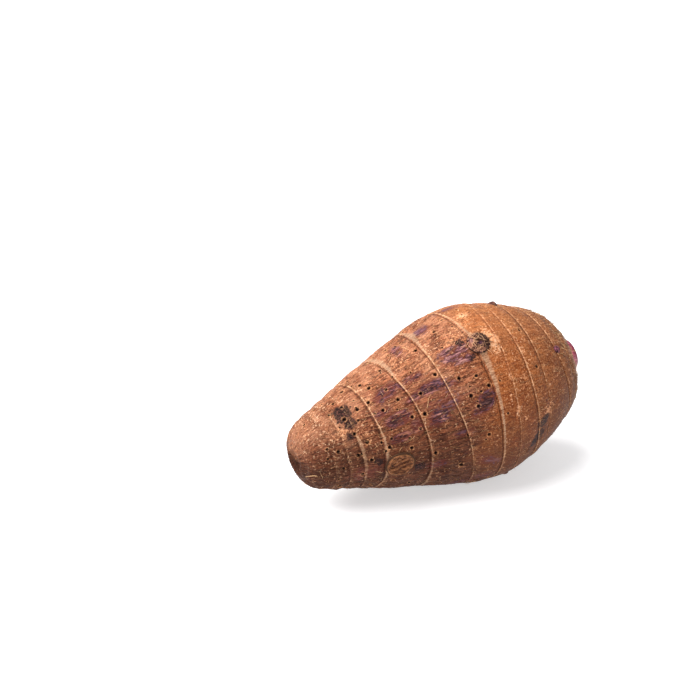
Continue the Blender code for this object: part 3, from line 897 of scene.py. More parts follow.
# Noises the same in all directions: the size of their cells in mm
GRIT_CELL = 0.75
SPECKLE_CELL = 1.1
RAGGED_CELL = 1.5
MOTTLE_CELL = 4.5
CLOUD_CELL = 17.0

# Where the skin's colours change, in mm over the skin from the tail end
SCALY_SKIN = (22.0, 50.0)
OLDEST_SKIN = (45.0, 85.0)
OLDER_SKIN = (75.0, 100.0)
# The shoulder's darkening is partly painted shade.
SHOULDER_SHADE = (126.0, 168.0)

# Bands round the leaf stalks, by their radius in mm
CORK_BAND = (17.4, 21.0)
LEAF_BAND = (16.8, 17.3)
DARK_LINE = (16.5, 16.9)
# Inside the seat's edge the gap next to the stalks gets painted shade.
SEAT_EDGE = (12.8, 13.3)

SKIN_BUMP = 1.1 * MM


class SkinFinish(Finish):
    """Dry brown skin: fibrous at the head, wrinkled and stained towards the tail."""

    def __init__(self, settings):
        super().__init__("taro_skin")
        self.settings = settings
        self.flow = self.attribute("flow")
        self.edge, self.groove_shade, self.line = self.parts(self.attribute("rings"))
        self.purple, self.scab, self.pale = self.parts(self.attribute("stains"))
        self.root_scar, self.wrinkle, self.radius = self.parts(self.attribute("marks"))
        self.tail, self.hatch, self.band = self.parts(self.attribute("zones"))
        self.arc, across = self.parts(self.flow)[:2]
        self.up = across * (1.0 / FLOW_RADIUS)
        self.fine = self.noise(self.lengthwise(*FINE_CELLS), 3.0, 0.6)
        self.grain = self.noise(self.lengthwise(*GRAIN_CELLS), 3.0, 0.65, 0.5)
        self.ridges = self.noise(self.lengthwise(*RIDGE_CELLS), 2.0, 0.5, 0.35)
        self.streaks = self.noise(self.lengthwise(*STREAK_CELLS), 3.0, 0.55, 0.4)
        self.strokes = self.noise(self.lengthwise(*STROKE_CELLS), 3.0, 0.6, 0.6)
        self.speckle = self.noise(self.place(SPECKLE_CELL), 2.0, 0.7)
        self.grit = self.noise(self.place(GRIT_CELL), 1.0, 0.5)
        self.ragged = self.noise(self.place(RAGGED_CELL), 3.0, 0.6)
        self.mottle = self.noise(self.place(MOTTLE_CELL), 4.0, 0.62)
        self.cloud = self.noise(self.place(CLOUD_CELL), 2.0)
        self.crevice = self.crossing(self.lengthwise(*CREVICE_CELLS), 1.2, 0.06)
        self.thread = self.crossing(self.lengthwise(*THREAD_CELLS), 0.6, 0.026)
        self.calm = self.rise(self.up * 0.5 + self.cloud * 0.9 + self.mottle * 0.3, 0.80, 1.16)
        self.scaly = self.fall(self.arc, *SCALY_SKIN) * self.tail
        self.oldest = self.fall(self.arc, *OLDEST_SKIN)
        self.older = self.fall(self.arc, *OLDER_SKIN)
        self.halo = self.rise(self.purple + (self.mottle - 0.5) * 0.7 + (self.strokes - 0.5) * 1.2, 0.0, 0.6)

    def lengthwise(self, length, width, shift):
        """The skin's own directions, in cells of a length and a width in mm."""
        return self.along(self.flow, length, width, (shift, 0.7 * shift, 0.3 * shift))

    def crossing(self, vector, distortion, width):
        """Thin winding lines, drawn where a noise passes its middle."""
        value = self.noise(vector, 2.0, 0.5, distortion)
        return self.fall(self.math("ABSOLUTE", value - 0.5), 0.2 * width, width)

    def head_colour(self):
        """Younger skin: orange-brown, in fine fibres, paler towards the top as painted light, and darker
        towards the leaf stalks with dark fibres and painted shade.
        """
        settings = self.settings
        tone = self.grain * 0.25 + self.mottle * 0.3 + self.fine * 0.2 + self.ragged * 0.25
        base = self.paint(settings.head_dark, settings.head_light, tone, 0.41, 0.58)
        base = self.paint(base, settings.head_red, self.cloud, 0.42, 0.62, 0.5)
        # Painted light: the pale thread colour laid thinly over the top of the head, where the light falls.
        painted_top_light = self.up + (self.mottle - 0.5) * 0.6
        base = self.paint(base, settings.thread_and_top_light_colour, painted_top_light, 0.45, 1.1, 0.19)
        # Darker towards the leaf stalks: dark fibres, and painted shade on the end of the head that turns
        # away from the light.
        shoulder = self.rise(self.arc + (self.mottle - 0.5) * 40.0, *SHOULDER_SHADE)
        fibres = 0.5 + self.rise(self.fine, 0.45, 0.6) * 0.35
        base = self.mix(shoulder * fibres, base, settings.shoulder_fibre_and_shade_colour)
        return self.mix(shoulder * self.rise(1.0 - self.fine, 0.5, 0.6) * 0.3, base, settings.thread_and_top_light_colour)

    def tail_colour(self):
        """Older skin: bark in three browns from its furrows to its ridges, and smoother where it is calm."""
        settings = self.settings
        relief = self.wrinkle * 0.06 + self.grain * 0.55 + self.fine * 0.3 + self.mottle * 0.15
        bark = self.paint(settings.tail_dark, settings.tail_red, relief, 0.39, 0.49)
        bark = self.paint(bark, settings.tail_light, relief, 0.5, 0.62)
        furrow = self.streaks + (self.grain - 0.5) * 0.4
        bark = self.paint(bark, settings.stain_dark, furrow, 0.52, 0.64, 0.7)
        plum = self.cloud * 0.4 + self.mottle * 0.2 + self.streaks * 0.4
        bark = self.paint(bark, settings.tint_colour, plum, 0.46, 0.56, 0.5)
        film = self.mottle * 0.6 + self.grain * 0.4
        smooth = self.paint(settings.film_dark, settings.film_colour, film, 0.40, 0.60)
        return self.mix(self.calm * 0.85, bark, smooth)

    def speckled(self, base):
        """Threads, furrows darkened with painted shade, ridges with painted highlights and painted shade
        between them, and specks over the plain colours, and soil darkened with painted shade on the
        underside.
        """
        settings = self.settings
        rough = (1.0 - self.calm * 0.8) * self.tail
        base = self.mix(self.thread * (0.3 + rough * 0.1), base, settings.thread_and_top_light_colour)
        # Painted shade in the crevices, which the bump also sinks.
        base = self.mix(self.crevice * (0.2 + rough * 0.65), base, settings.shade_and_speck_colour)
        pale_share = 0.2 + rough * 0.18 + self.scaly * 0.3
        base = self.paint(base, settings.thread_and_top_light_colour, self.speckle, 0.56, 0.68, pale_share)
        base = self.paint(base, settings.shade_and_speck_colour, 1.0 - self.speckle, 0.54, 0.66, 0.4 + rough * 0.3)
        # Painted highlights on the ridges, strokes and fibres, and painted shade in the hollows between them.
        for relief, light, dark in ((self.ridges, (0.54, 0.66, rough, 0.45), (0.54, 0.66, rough, 0.4)),
                                    (self.strokes, (0.53, 0.62, rough, 0.4), (0.54, 0.62, rough, 0.6)),
                                    (self.fine, (0.53, 0.63, rough, 0.4), (0.53, 0.63, rough, 0.4))):
            base = self.paint(base, settings.ridge_highlight_colour, relief, *light)
            base = self.paint(base, settings.tail_dark, 1.0 - relief, *dark)
        dim = 1.0 - self.mottle * 0.6 - self.streaks * 0.4
        base = self.paint(base, settings.tail_dark, dim, 0.5, 0.6, rough, 0.2 + self.oldest * 0.45)
        base = self.paint(base, settings.thread_and_top_light_colour, self.grit, 0.52, 0.62, 0.18 - rough * 0.08)
        base = self.paint(base, settings.shade_and_speck_colour, 1.0 - self.grit, 0.52, 0.62, 0.24 - rough * 0.04)
        flake = self.ragged * 0.5 + self.speckle * 0.5 + self.hatch * 0.06 + self.scaly * 0.04
        base = self.paint(base, settings.flake_colour, flake, 0.60, 0.65, 0.4 + self.tail * 0.4)
        # Soil and painted shade together: darker towards the underside, where less light falls.
        soil_and_painted_shade = self.mottle * 0.8 - self.up * 0.6 + self.tail * 0.16 + self.scaly * 0.14
        return self.paint(base, settings.soil_and_shade_colour, soil_and_painted_shade, 0.0, 0.8, 0.74)

    def scuffed(self, base):
        """The mauve tint round the stains, and pale scuffs with loose flakes."""
        settings = self.settings
        base = self.mix(self.halo * (0.5 + self.older * 0.3), base, settings.tint_colour)
        broken = (self.ragged - 0.5) * 1.8 + (self.speckle - 0.5) * 1.4 + (self.grit - 0.5) * 1.6
        base = self.paint(base, settings.flesh_colour, self.pale + broken, 0.3, 1.1, 0.82)
        scales = self.pale + (self.grit - 0.5) * 5.0 + (self.ragged - 0.5) * 2.0
        return self.paint(base, settings.flake_colour, scales, 1.35, 1.7, 0.6)

    def stained(self, base):
        """Purple stains, broken up by the fibres: dark between them, and a painted pink highlight on the
        highest; round the older stains the ridges get a painted highlight too.
        """
        settings = self.settings
        broken = (self.grain - 0.5) * 3.4 + (self.ragged - 0.5) * 1.6 + (self.mottle - 0.5) * 1.4
        stain = self.rise(self.math("MINIMUM", self.purple, 0.8) + broken, 0.32, 0.85)
        stain = stain * self.rise(self.purple, 0.03, 0.3)
        relief = self.wrinkle * 0.05 + self.grain * 0.65 + self.fine * 0.33
        light = self.paint(settings.stain_brown, settings.stain_light, self.purple, 0.4, 0.8)
        light = self.paint(light, settings.stain_blue, self.mottle * 0.5 + self.cloud * 0.5, 0.48, 0.56, 0.6)
        light = self.paint(light, settings.stain_dark, self.purple, 1.0, 1.25)
        tone = self.paint(settings.stain_dark, light, relief - self.older * 0.02, 0.45, 0.53)
        # Painted highlights: pink on the highest fibres of the stains, stronger in the pale scuffs.
        highlight_share = 0.15 + self.rise(self.pale, 0.1, 0.3) * 0.6
        tone = self.paint(tone, settings.stain_pink_highlight, relief, 0.54, 0.59, highlight_share)
        base = self.mix(stain * 0.86, base, tone)
        # Painted highlight on the ridges round the older stains.
        return self.paint(base, settings.ridge_highlight_colour, relief, 0.54, 0.6, self.halo, self.older, 0.4)

    def crusted(self, base):
        """Dark crusts, with paler crumbs in them."""
        crust = self.scab + (self.ragged - 0.5) * 1.8 + (self.speckle - 0.5) * 1.2
        crumbs = self.paint(self.settings.scab_colour, self.settings.stain_brown, self.grit, 0.53, 0.65)
        return self.paint(base, crumbs, crust, 0.45, 0.6, 0.95)

    def ringed(self, base):
        """Leaf-scar rings: painted shade in the groove, pale edge or band that shows more on the top as
        painted light, and short fibres past it.
        """
        settings = self.settings
        here = self.rise(self.line + (self.mottle - 0.5) * 2.4 + (self.speckle - 0.5), 0.15, 0.85)
        # The pale line shows more towards the top: painted light.
        here = self.math("MAXIMUM", here * (0.75 + self.up * 0.25), self.band)
        base = self.paint(base, settings.thread_and_top_light_colour, self.fine, 0.48, 0.62, self.hatch, 0.35)
        # Painted shadow along the ring's groove, on its tail side.
        groove_shade = self.groove_shade + (self.ragged - 0.5) * 0.9
        clear = self.rise(self.line, 0.1, 0.8)
        base = self.paint(base, settings.shade_and_speck_colour, groove_shade, 0.1, 0.8, clear, 0.55)
        rough = (self.ragged - 0.5) * 0.8 + (self.grain * 0.5 + self.speckle * 0.5 - 0.5) * self.band * 2.2
        rim = self.rise(self.edge + rough, 0.0, 0.5) * here
        thin = self.paint(settings.edge_dark, settings.edge_light, self.grain, 0.4, 0.6)
        wide = self.paint(settings.band_dark, settings.band_light, self.fine, 0.4, 0.6)
        return self.mix(rim * (0.8 - self.band * 0.15), base, self.mix(self.band, thin, wide))

    def pitted(self, base):
        """Root scars: a hole darkened with painted shade, with an uneven rim."""
        collar = self.hump(self.root_scar + (self.ragged - 0.5) * 0.8, 1.3, 1.6, 0.35)
        collar = collar * self.rise(self.speckle, 0.42, 0.6)
        base = self.mix(collar * 0.6, base, self.settings.thread_and_top_light_colour)
        hole = self.fall(self.root_scar + (self.ragged - 0.5) * 0.6, 0.75, 1.2)
        return self.mix(hole * 0.95, base, self.settings.pit_shade_colour)

    def crowned(self, base):
        """Bands round the leaf stalks: beige cork, purple-grey leaf base with a dark line, and painted shade
        in the gap next to the stalks.
        """
        settings = self.settings
        crown = 1.0 - self.tail
        fine = self.noise(self.lengthwise(*CROWN_CELLS), 2.0)
        reach = self.radius + (self.ragged - 0.5) * 1.2
        cork = self.paint(settings.cork_dark, settings.cork_light, fine, 0.38, 0.6)
        leaf = self.paint(settings.stain_light, settings.leaf_base_colour, fine, 0.4, 0.6)
        for band, share, colours in ((self.hump(reach, *CORK_BAND, 0.5), 0.8, cork),
                                     (self.fall(reach, *LEAF_BAND), 0.9, leaf),
                                     (self.hump(reach, *DARK_LINE, 0.3), 0.85, settings.stain_dark),
                                     (self.fall(self.radius, *SEAT_EDGE), 0.9, settings.shade_and_speck_colour)):
            base = self.mix(band * crown * share, base, colours)
        return base

    def relief(self):
        """Bumped normal of the fibres, furrows and specks."""
        height = self.grain * 0.4 + self.fine * 0.2 + self.speckle * 0.15 + self.ridges * self.tail * 0.45
        height = height * (0.5 + self.tail * (0.7 - self.calm * 0.4))
        return self.bump(height - self.crevice * (0.03 + self.tail * 0.09), SKIN_BUMP)

    def made(self):
        """The material, layer upon layer."""
        base = self.mix(self.tail, self.head_colour(), self.tail_colour())
        for layer in (self.speckled, self.scuffed, self.stained, self.crusted, self.ringed, self.pitted,
                      self.crowned):
            base = layer(base)
        rough = 0.56 + (self.mottle - 0.5) * 0.3 + (self.speckle - 0.5) * 0.3
        return self.finished(base, rough, self.relief(), Specular_IOR_Level=0.1)


def growth_sheet(spot, root_depth, relief, mesh_size, shape=(1.0, 1.0, 0.0)):
    """Sheet of points of a growth, from its root in the skin up to its middle, and its own attributes.

    Its shape is how much longer it is than its radius along the corm, how much wider, and its turn.
    """
    columns, rows = mesh_size
    long, wide, slant = shape
    radius = spot.radius
    share, turn, angle = swept(np.concatenate((GROWTH_ROOT, np.linspace(1.0, 0.04, rows))), columns)
    x = long * share * radius * np.cos(angle)
    y = wide * share * radius * np.sin(angle)
    height, layer = relief(share, turn, x, y)
    height[0] = -root_depth
    height[1] = -0.6 * root_depth
    height[2] = np.minimum(height[2], 0.0) - 0.2 * root_depth
    points = moved_by(growth_matrix(spot) @ Matrix.Rotation(slant, 4, "Z"), np.stack((x, y, height), axis=-1))
    flow = flow_of(share * radius, angle, radius)
    return points, {"flow": flow, "growth": np.stack((share, layer, height), axis=-1)}


def growth_matrix(spot):
    """From a growth's own axes in mm, with Z out of the skin and X along the corm, to the world."""
    row = np.array([spot.place])
    angle = np.array([math.radians(spot.angle)])
    place = row + ring_lean(row, angle)
    point = Vector(raised_points(place, angle, plain_relief(row, place, angle))[0])
    turn = float(angle[0])
    along_axis, away = (float(value[0]) for value in outline_normal(row))
    out = Vector((along_axis, -away * math.sin(turn), away * math.cos(turn)))
    along = Vector((away, along_axis * math.sin(turn), -along_axis * math.cos(turn)))
    axes = Matrix((along, out.cross(along), out)).transposed().to_4x4()
    return lying_matrix() @ Matrix.Scale(MM, 4) @ Matrix.Translation(point) @ axes


# Scale leaves of a bud, from the outermost in: radius as a share of the bud's, then the heights of the
# leaf's edge and of its middle as shares of the bud's; each lies a step aside of the one before
LEAVES = ((1.0, 0.02, 0.50), (0.83, 0.30, 0.70), (0.66, 0.52, 0.84), (0.48, 0.70, 0.94), (0.28, 0.84, 1.0))
LEAF_STEP = (-0.035, 0.03)


def bud_relief(spot, height, seed):
    """The rule for a bud of closed scale leaves that overlap round its tip."""
    def relief(share, turn, x, y):
        tallest = np.full(share.shape, -1.0)
        layer = np.zeros(share.shape)
        for number, (size, edge, top) in enumerate(LEAVES):
            ragged = 1.0 + 0.05 * noise(turn * 0 + number, turn, 7 + 2 * number, seed) if number else 1.0
            aside, beside = (step * number * spot.radius for step in LEAF_STEP)
            reach = np.hypot(x + aside, y + beside) / (size * spot.radius * ragged)
            surface = np.where(reach < 1.0, edge + (top - edge) * (1.0 - reach ** 2), -1.0)
            layer = np.where(surface > tallest, reach, layer)
            tallest = np.maximum(tallest, surface)
        fine = 0.05 * noise(share * 12.0, turn, 40, seed + 1) + 0.04 * noise(share * 5.0, turn, 22, seed + 2)
        return height * (np.maximum(tallest, 0.0) + fine), layer
    return relief


def scar_relief(spot, seed):
    """The rule for a cut scar: a lumpy lip round a sunk face with folds along the corm."""
    def relief(share, turn, x, y):
        edge = 0.92 + 0.06 * noise(turn * 0, turn, 5, seed) + 0.03 * noise(turn * 0 + 5, turn, 17, seed)
        reach = share / edge
        lip = 0.8 + 0.4 * noise(turn * 0 + 9, turn, 8, seed)
        lip = lip * ease(1.0 - reach, 0.0, 0.09) * (1.0 - 0.7 * ease(0.87 - reach, 0.0, 0.15))
        sunk = ease(0.86 - reach, 0.0, 0.16)
        middle = 0.8 * noise(x * 0.3 + 30.0, 0.0 * y, 3, seed + 4)
        folds = np.zeros(share.shape)
        for aside, depth in FOLDS:
            folds = np.maximum(folds, depth * bell(y - middle - aside * spot.radius, 0.42))
        folds = folds * sunk
        lumps = 0.22 * noise(x * 0.5 + 30.0, (y / 40.0) % 1.0, 40, seed + 1)
        lumps = lumps + 0.10 * noise(x * 1.6 + 30.0, (y / 40.0) % 1.0, 90, seed + 2)
        height = lip + sunk * lumps - 0.7 * folds + 0.06 * noise(share * 9.0, turn, 60, seed + 3)
        return height, folds + 0.75 * ease(reach, 0.97, 1.03)
    return relief


def bud_finish(settings, name, light, dark, worn_share):
    """Overlapping scale leaves in patches of several browns, with pale edges, dark specks, and painted shade
    in the gaps between them, round the foot and on the side towards the head.
    """
    finish = Finish(name)
    flow = finish.attribute("flow")
    share, layer = finish.parts(finish.attribute("growth"))[:2]
    streaks = finish.noise(finish.along(flow, 3.0, 0.5), 3.0, 0.6)
    mottle = finish.noise(finish.place(1.4), 3.0, 0.6)
    patch, tint, worn = finish.parts(finish.cells(finish.place(2.6), 1))
    base = finish.paint(dark, light, streaks * 0.5 + mottle * 0.5, 0.40, 0.6)
    base = finish.paint(base, settings.leaf_red, patch, 0.5, 0.7, worn_share)
    base = finish.paint(base, settings.leaf_tint, tint, 0.72, 0.8, worn_share)
    base = finish.paint(base, settings.leaf_edge, mottle, 0.55, 0.62, finish.rise(worn, 0.4, 0.6), worn_share)
    rim = finish.hump(layer, 0.84, 0.93, 0.04) * finish.rise(mottle, 0.4, 0.55)
    base = finish.mix(rim * worn_share, base, settings.leaf_edge)
    # Painted shade: the gaps under the leaves' edges, the foot and the side towards the head are darker, and
    # the mottle adds dark specks.
    painted_shade_side = finish.parts(flow)[1] * share + (mottle - 0.5) * 5.0
    for gap, low, high, deep in ((layer, 0.95, 1.0, 0.9), (1.0 - mottle, 0.54, 0.62, 0.8),
                                 (share, 0.93, 0.99, 0.6), (painted_shade_side, 0.6, 2.6, 0.7)):
        base = finish.paint(base, settings.gap_shade_and_speck_colour, gap, low, high, deep)
    normal = finish.bump(streaks * 0.4 + mottle * 0.6, BUD_BUMP)
    return finish.finished(base, 0.55 + mottle * 0.2, normal, Specular_IOR_Level=0.12)


def scar_finish(settings):
    """Dried flesh of a cut scar: golden brown on its ridges, with dark specks, and painted shade in its folds
    and round its edge.
    """
    finish = Finish("dried_scar")
    share, fold = finish.parts(finish.attribute("growth"))[:2]
    lines = finish.noise(finish.scaled(finish.place(1.0), (0.3, 1.0, 1.0)), 4.0, 0.65, 0.6)
    mottle = finish.noise(finish.place(1.8), 4.0, 0.65)
    base = finish.paint(settings.scar_dark, settings.scar_light, lines * 0.6 + mottle * 0.4, 0.42, 0.58)
    # Paler raised lip: partly its own colour, partly a painted highlight.
    base = finish.paint(base, settings.scar_lip_and_highlight, share, 0.8, 0.9, 0.5)
    base = finish.paint(base, settings.gap_shade_and_speck_colour, 1.0 - mottle, 0.53, 0.64, 0.6)
    # Painted shade in the folds and round the edge.
    base = finish.paint(base, settings.gap_shade_and_speck_colour, fold + (mottle - 0.5) * 1.2, 0.3, 0.8, 0.85)
    normal = finish.bump(lines * 0.5 + mottle * 0.5, SCAR_BUMP)
    return finish.finished(base, 0.62 + mottle * 0.15, normal, Specular_IOR_Level=0.15)


def rounded(points, rounds):
    """An outline with its corners cut, again and again."""
    line = np.array(points, float)
    for _ in range(rounds):
        near = 0.75 * line[:-1] + 0.25 * line[1:]
        far = 0.25 * line[:-1] + 0.75 * line[1:]
        line = np.concatenate((line[:1], np.stack((near, far), axis=1).reshape(-1, 2), line[-1:]))
    return line


def stepped(line, step):
    """An outline's points, a step apart, with their distance along it."""
    reach = running(np.hypot(*np.diff(line, axis=0).T))
    steps = np.linspace(0.0, reach[-1], int(reach[-1] / step) + 2)
    return np.interp(steps, reach, line[:, 0]), np.interp(steps, reach, line[:, 1]), steps


def stalk_sheet(profile, step, columns, radius_rule):
    """Sheet of points of a stalk, turned round the axis, with its cut end sagging."""
    radii, places, reach = stepped(profile, step)
    radius, turn, angle = swept(radii, columns)
    place = places[:, None] + 0.0 * turn
    points = axis_points(place, radius_rule(radius, place, angle), angle)
    rise = np.maximum(place - SEAT_FLOOR, 0.0) / (STALK_OUTSIDE[0][1] - SEAT_FLOOR)
    points[..., 2] -= STALK_SAG * rise ** 2
    flow = flow_of(reach[:, None] + 0.0 * turn, angle, STALK_OUTSIDE[0][0])
    return laid(points), flow, radius, rise, angle


def outer_stalk_radius(radius, place, angle):
    """The outside grows with the angle, which leaves a step where the stalk wraps over itself."""
    turn = (angle - STALK_WRAP_ANGLE) % (2 * math.pi) / (2 * math.pi)
    outside = ease(radius, STALK_BORE[-1][0] + 0.1, STALK_BORE[-1][0] + 0.8)
    ribs = 0.05 * noise(place * 0.12, angle / (2 * math.pi), 46, 21)
    return radius - outside * (STALK_WRAP * (1.0 - turn) - ribs)


def inner_stalk_radius(radius, place, angle):
    """The inner stalk is pressed in a little on two sides."""
    share = radius / INNER_STALK[2][0]
    return radius - INNER_FOLD * share * (0.5 + 0.5 * np.cos(2 * angle))


def outer_stalk_mesh():
    """The base of the outer leaf stalk, from its foot up its outside, over the cut and down its bore."""
    outside = rounded(tuple(reversed(STALK_OUTSIDE)), 2)
    foot = [(radius, STALK_OUTSIDE[-1][1]) for radius in STALK_FOOT]
    floor = [(radius, STALK_BORE[0][1]) for radius in STALK_FLOOR]
    profile = np.concatenate((foot, outside, STALK_CUT, tuple(reversed(STALK_BORE)), floor))
    points, flow, radius, rise = stalk_sheet(profile, 0.22, 180, outer_stalk_radius)[:4]
    steps = np.arange(len(rise))[:, None] + 0.0 * rise
    cut_face = np.where(steps >= np.argmax(rise[:, 0]), 1.0, 0.0)
    values = np.stack((rise, cut_face, radius), axis=-1)
    return sheet_mesh("outer_leaf_stalk_base", points, {"flow": flow, "stalk": values})


def inner_stalk_mesh():
    """The rolled inner leaf stalk, cut level with the outer one, with its roll showing on the cut."""
    side = rounded(tuple(reversed(INNER_STALK[1:-1])), 1)
    profile = np.concatenate((((0.6, INNER_STALK[-1][1]),), side, ((0.3, INNER_STALK[0][1]),)))
    points, flow, radius, rise, angle = stalk_sheet(profile, 0.16, 120, inner_stalk_radius)
    on_cut = ease(rise, 0.93, 0.955)
    roll = (radius / INNER_ROLL - angle / (2 * math.pi)) % 1.0
    seam = bell(np.minimum(roll, 1.0 - roll), 0.11) * on_cut
    depth = seam * ease(radius, 0.4, 1.2) * (1.0 - ease(radius, 4.2, 4.6))
    points -= depth[..., None] * INNER_SEAM * np.array(lying_matrix())[:3, 0]
    values = np.stack((rise, on_cut, depth), axis=-1)
    return sheet_mesh("inner_leaf_stalk_base", points, {"flow": flow, "stalk": values})


def outer_stalk_finish(settings):
    """Moist pink stalk with lengthwise streaks, pale at the foot; its cut flesh is full of small holes."""
    finish = Finish("pink_stalk")
    flow = finish.attribute("flow")
    rise, cut, radius = finish.parts(finish.attribute("stalk"))
    streaks = finish.noise(finish.along(flow, 9.0, 0.6), 3.0, 0.6)
    broad = finish.noise(finish.along(flow, 16.0, 3.0, (3.0, 1.0, 6.0)), 2.0)
    pores = finish.cells(finish.place(0.55))
    height = rise + (streaks - 0.5) * 0.5
    base = finish.paint(settings.foot_colour, settings.stalk_colour, height, 0.10, 0.42)
    base = finish.paint(base, settings.stalk_dark, height, 0.55, 0.95)
    base = finish.paint(base, settings.stalk_dark, streaks, 0.5, 0.66, 0.26)
    base = finish.paint(base, settings.foot_colour, 1.0 - streaks, 0.54, 0.68, 0.26)
    base = finish.paint(base, settings.green_streak, broad, 0.56, 0.66, finish.rise(rise, 0.2, 0.6), 0.6)
    flesh = finish.paint(settings.pore_colour, settings.cut_flesh, pores, 0.16, 0.4)
    skin_line = finish.rise(radius, *CUT_OUTER_LINE) + finish.fall(radius, *CUT_INNER_LINE)
    flesh = finish.mix(finish.math("MINIMUM", skin_line, 1.0) * 0.8, flesh, settings.cut_edge)
    base = finish.mix(cut, base, flesh)
    normal = finish.bump(streaks * (1.0 - cut) * 0.6 + finish.rise(pores, 0.1, 0.45) * cut, STALK_BUMP)
    return finish.finished(base, 0.36 + cut * 0.25 + (streaks - 0.5) * 0.2, normal)


def inner_stalk_finish(settings):
    """Rolled orange core of the stalk, with its dark roll line on the cut."""
    finish = Finish("stalk_core")
    flow = finish.attribute("flow")
    cut, seam = finish.parts(finish.attribute("stalk"))[1:]
    streaks = finish.noise(finish.along(flow, 5.0, 0.7), 3.0, 0.6)
    pores = finish.cells(finish.place(0.5))
    base = finish.paint(settings.core_dark, settings.core_light, streaks, 0.4, 0.62)
    base = finish.mix(finish.fall(pores, 0.14, 0.34) * cut * 0.6, base, settings.pore_colour)
    base = finish.paint(base, settings.cut_edge, seam, 0.25, 0.7, 0.85)
    normal = finish.bump(streaks * 0.6 + pores * 0.4, CORE_BUMP)
    return finish.finished(base, 0.45 + (streaks - 0.5) * 0.2, normal)


# Hairs over the skin, hairs round the leaf stalks, hairs on the rings, rootlets, and threads on a bud:
# their places along the axis and their lengths in mm
HEAD_HAIR_PLACES = (98.0, 151.0)
TAIL_HAIR_PLACES = (4.0, 98.0)
HEAD_HAIR_SHARE = 0.55
BACKWARD_HAIR_SHARE = 0.25
HAIR_LENGTHS = (1.8, 6.0)
CROWN_HAIR_PLACE = 153.0
CROWN_HAIR_SPREAD = 13.0
CROWN_HAIR_LENGTHS = (3.0, 8.5)
CROWN_HAIR_END = 155.2
RING_HAIR_LENGTHS = (0.8, 2.6)
RING_HAIR_SPREAD = 0.25
ROOTLET_COUNT = 34
ROOTLET_PLACES = (6.0, 90.0)
ROOTLET_LENGTHS = (3.0, 8.0)
ROOTLET_LIFTS = (0.3, 1.2)
THREAD_LENGTHS = (2.0, 7.0)
THREAD_LIFTS = (0.0, 0.55)
LOWEST_HAIR = 1.0 * MM
FIBRE_BUMP = 0.05 * MM
HAIR_SEED, CROWN_HAIR_SEED, RING_HAIR_SEED, ROOTLET_SEED = 31, 32, 33, 34
THREAD_SEED, WIDTH_SEED, THREAD_WIDTH_SEED = 75, 71, 80


def strand_mesh(name, paths, widths, shades):
    """A thin three-sided tube along every path, all of the same number of points."""
    count, steps = paths.shape[:2]
    ahead = np.gradient(paths, axis=1)
    ahead /= np.linalg.norm(ahead, axis=-1, keepdims=True)
    upright = np.abs(ahead[:, :1, 2:]) > 0.8
    reference = np.where(upright, np.array((1.0, 0.0, 0.0)), np.array((0.0, 0.0, 1.0)))
    side = np.cross(ahead, reference)
    side /= np.linalg.norm(side, axis=-1, keepdims=True)
    up = np.cross(side, ahead)
    rings = []
    for corner in range(3):
        turn = corner * 2.0 * math.pi / 3.0
        rings.append(paths + widths[..., None] * (math.cos(turn) * side + math.sin(turn) * up))
    index = np.arange(count * steps * 3).reshape(count, steps, 3)
    after = np.roll(index, -1, axis=2)
    quads = np.stack((index[:, :-1], index[:, 1:], after[:, 1:], after[:, :-1]), axis=-1).reshape(-1, 4)
    ends = np.concatenate((index[:, 0], index[:, -1, ::-1]))
    mesh = bpy.data.meshes.new(name)
    corners = fill_mesh(mesh, np.stack(rings, axis=2).reshape(-1, 3), quads, ends)
    share = np.broadcast_to(np.linspace(0.0, 1.0, steps)[None, :, None], (count, steps, 3))
    shade = np.broadcast_to(shades[:, None, None], (count, steps, 3))
    add_attribute(mesh, "strand", np.stack((share, shade, shade), axis=-1).reshape(-1, 3))
    add_map(mesh, strand_map(corners, count, steps))
    return mesh


def strand_map(corners, count, steps):
    """Every strand laid out in a small field of its own."""
    fields = math.ceil(math.sqrt(count))
    strand = corners // (steps * 3)
    step = (corners // 3) % steps
    across = (strand % fields + 0.15 + 0.3 * (corners % 3)) / fields
    down = (strand // fields + 0.1 + 0.8 * step / (steps - 1)) / fields
    return np.stack((across, down), axis=-1)


def any_angle(draw, *shape):
    """Angles anywhere in a turn."""
    return draw.uniform(0.0, 2.0 * np.pi, shape)


def skin_paths(draw, places, angles, headings, lengths, lifts, steps=7):
    """Paths that start in the skin, run over it and rise a little towards their tips."""
    count = len(places)
    share = np.linspace(0.0, 1.0, steps)[None, :]
    bend = draw.normal(0.0, 0.5, (count, 1)) * share + draw.normal(0.0, 0.22, (count, steps))
    heading = headings[:, None] + bend
    step = lengths[:, None] / (steps - 1)
    arc = arc_at(places)[:, None] + np.cumsum(np.cos(heading) * step, axis=1)
    place = np.interp(arc, ARCS, PLACES)
    across = np.cumsum(np.sin(heading) * step, axis=1)
    angle = angles[:, None] + across / radius_at(np.minimum(place, SHOULDER))
    row = place - ring_lean(place, angle)
    lift = -0.15 + (lifts[:, None] + 0.2) * share ** 1.2
    points = laid(raised_points(place, angle, plain_relief(row, place, angle) + lift))
    return points[points[..., 2].min(axis=1) > LOWEST_HAIR]


def tapered(count, steps, width):
    """Widths of strands in metres that narrow towards their tips."""
    share = np.linspace(0.0, 1.0, steps)[None, :]
    return np.broadcast_to(width * MM * (1.0 - 0.65 * share), (count, steps))


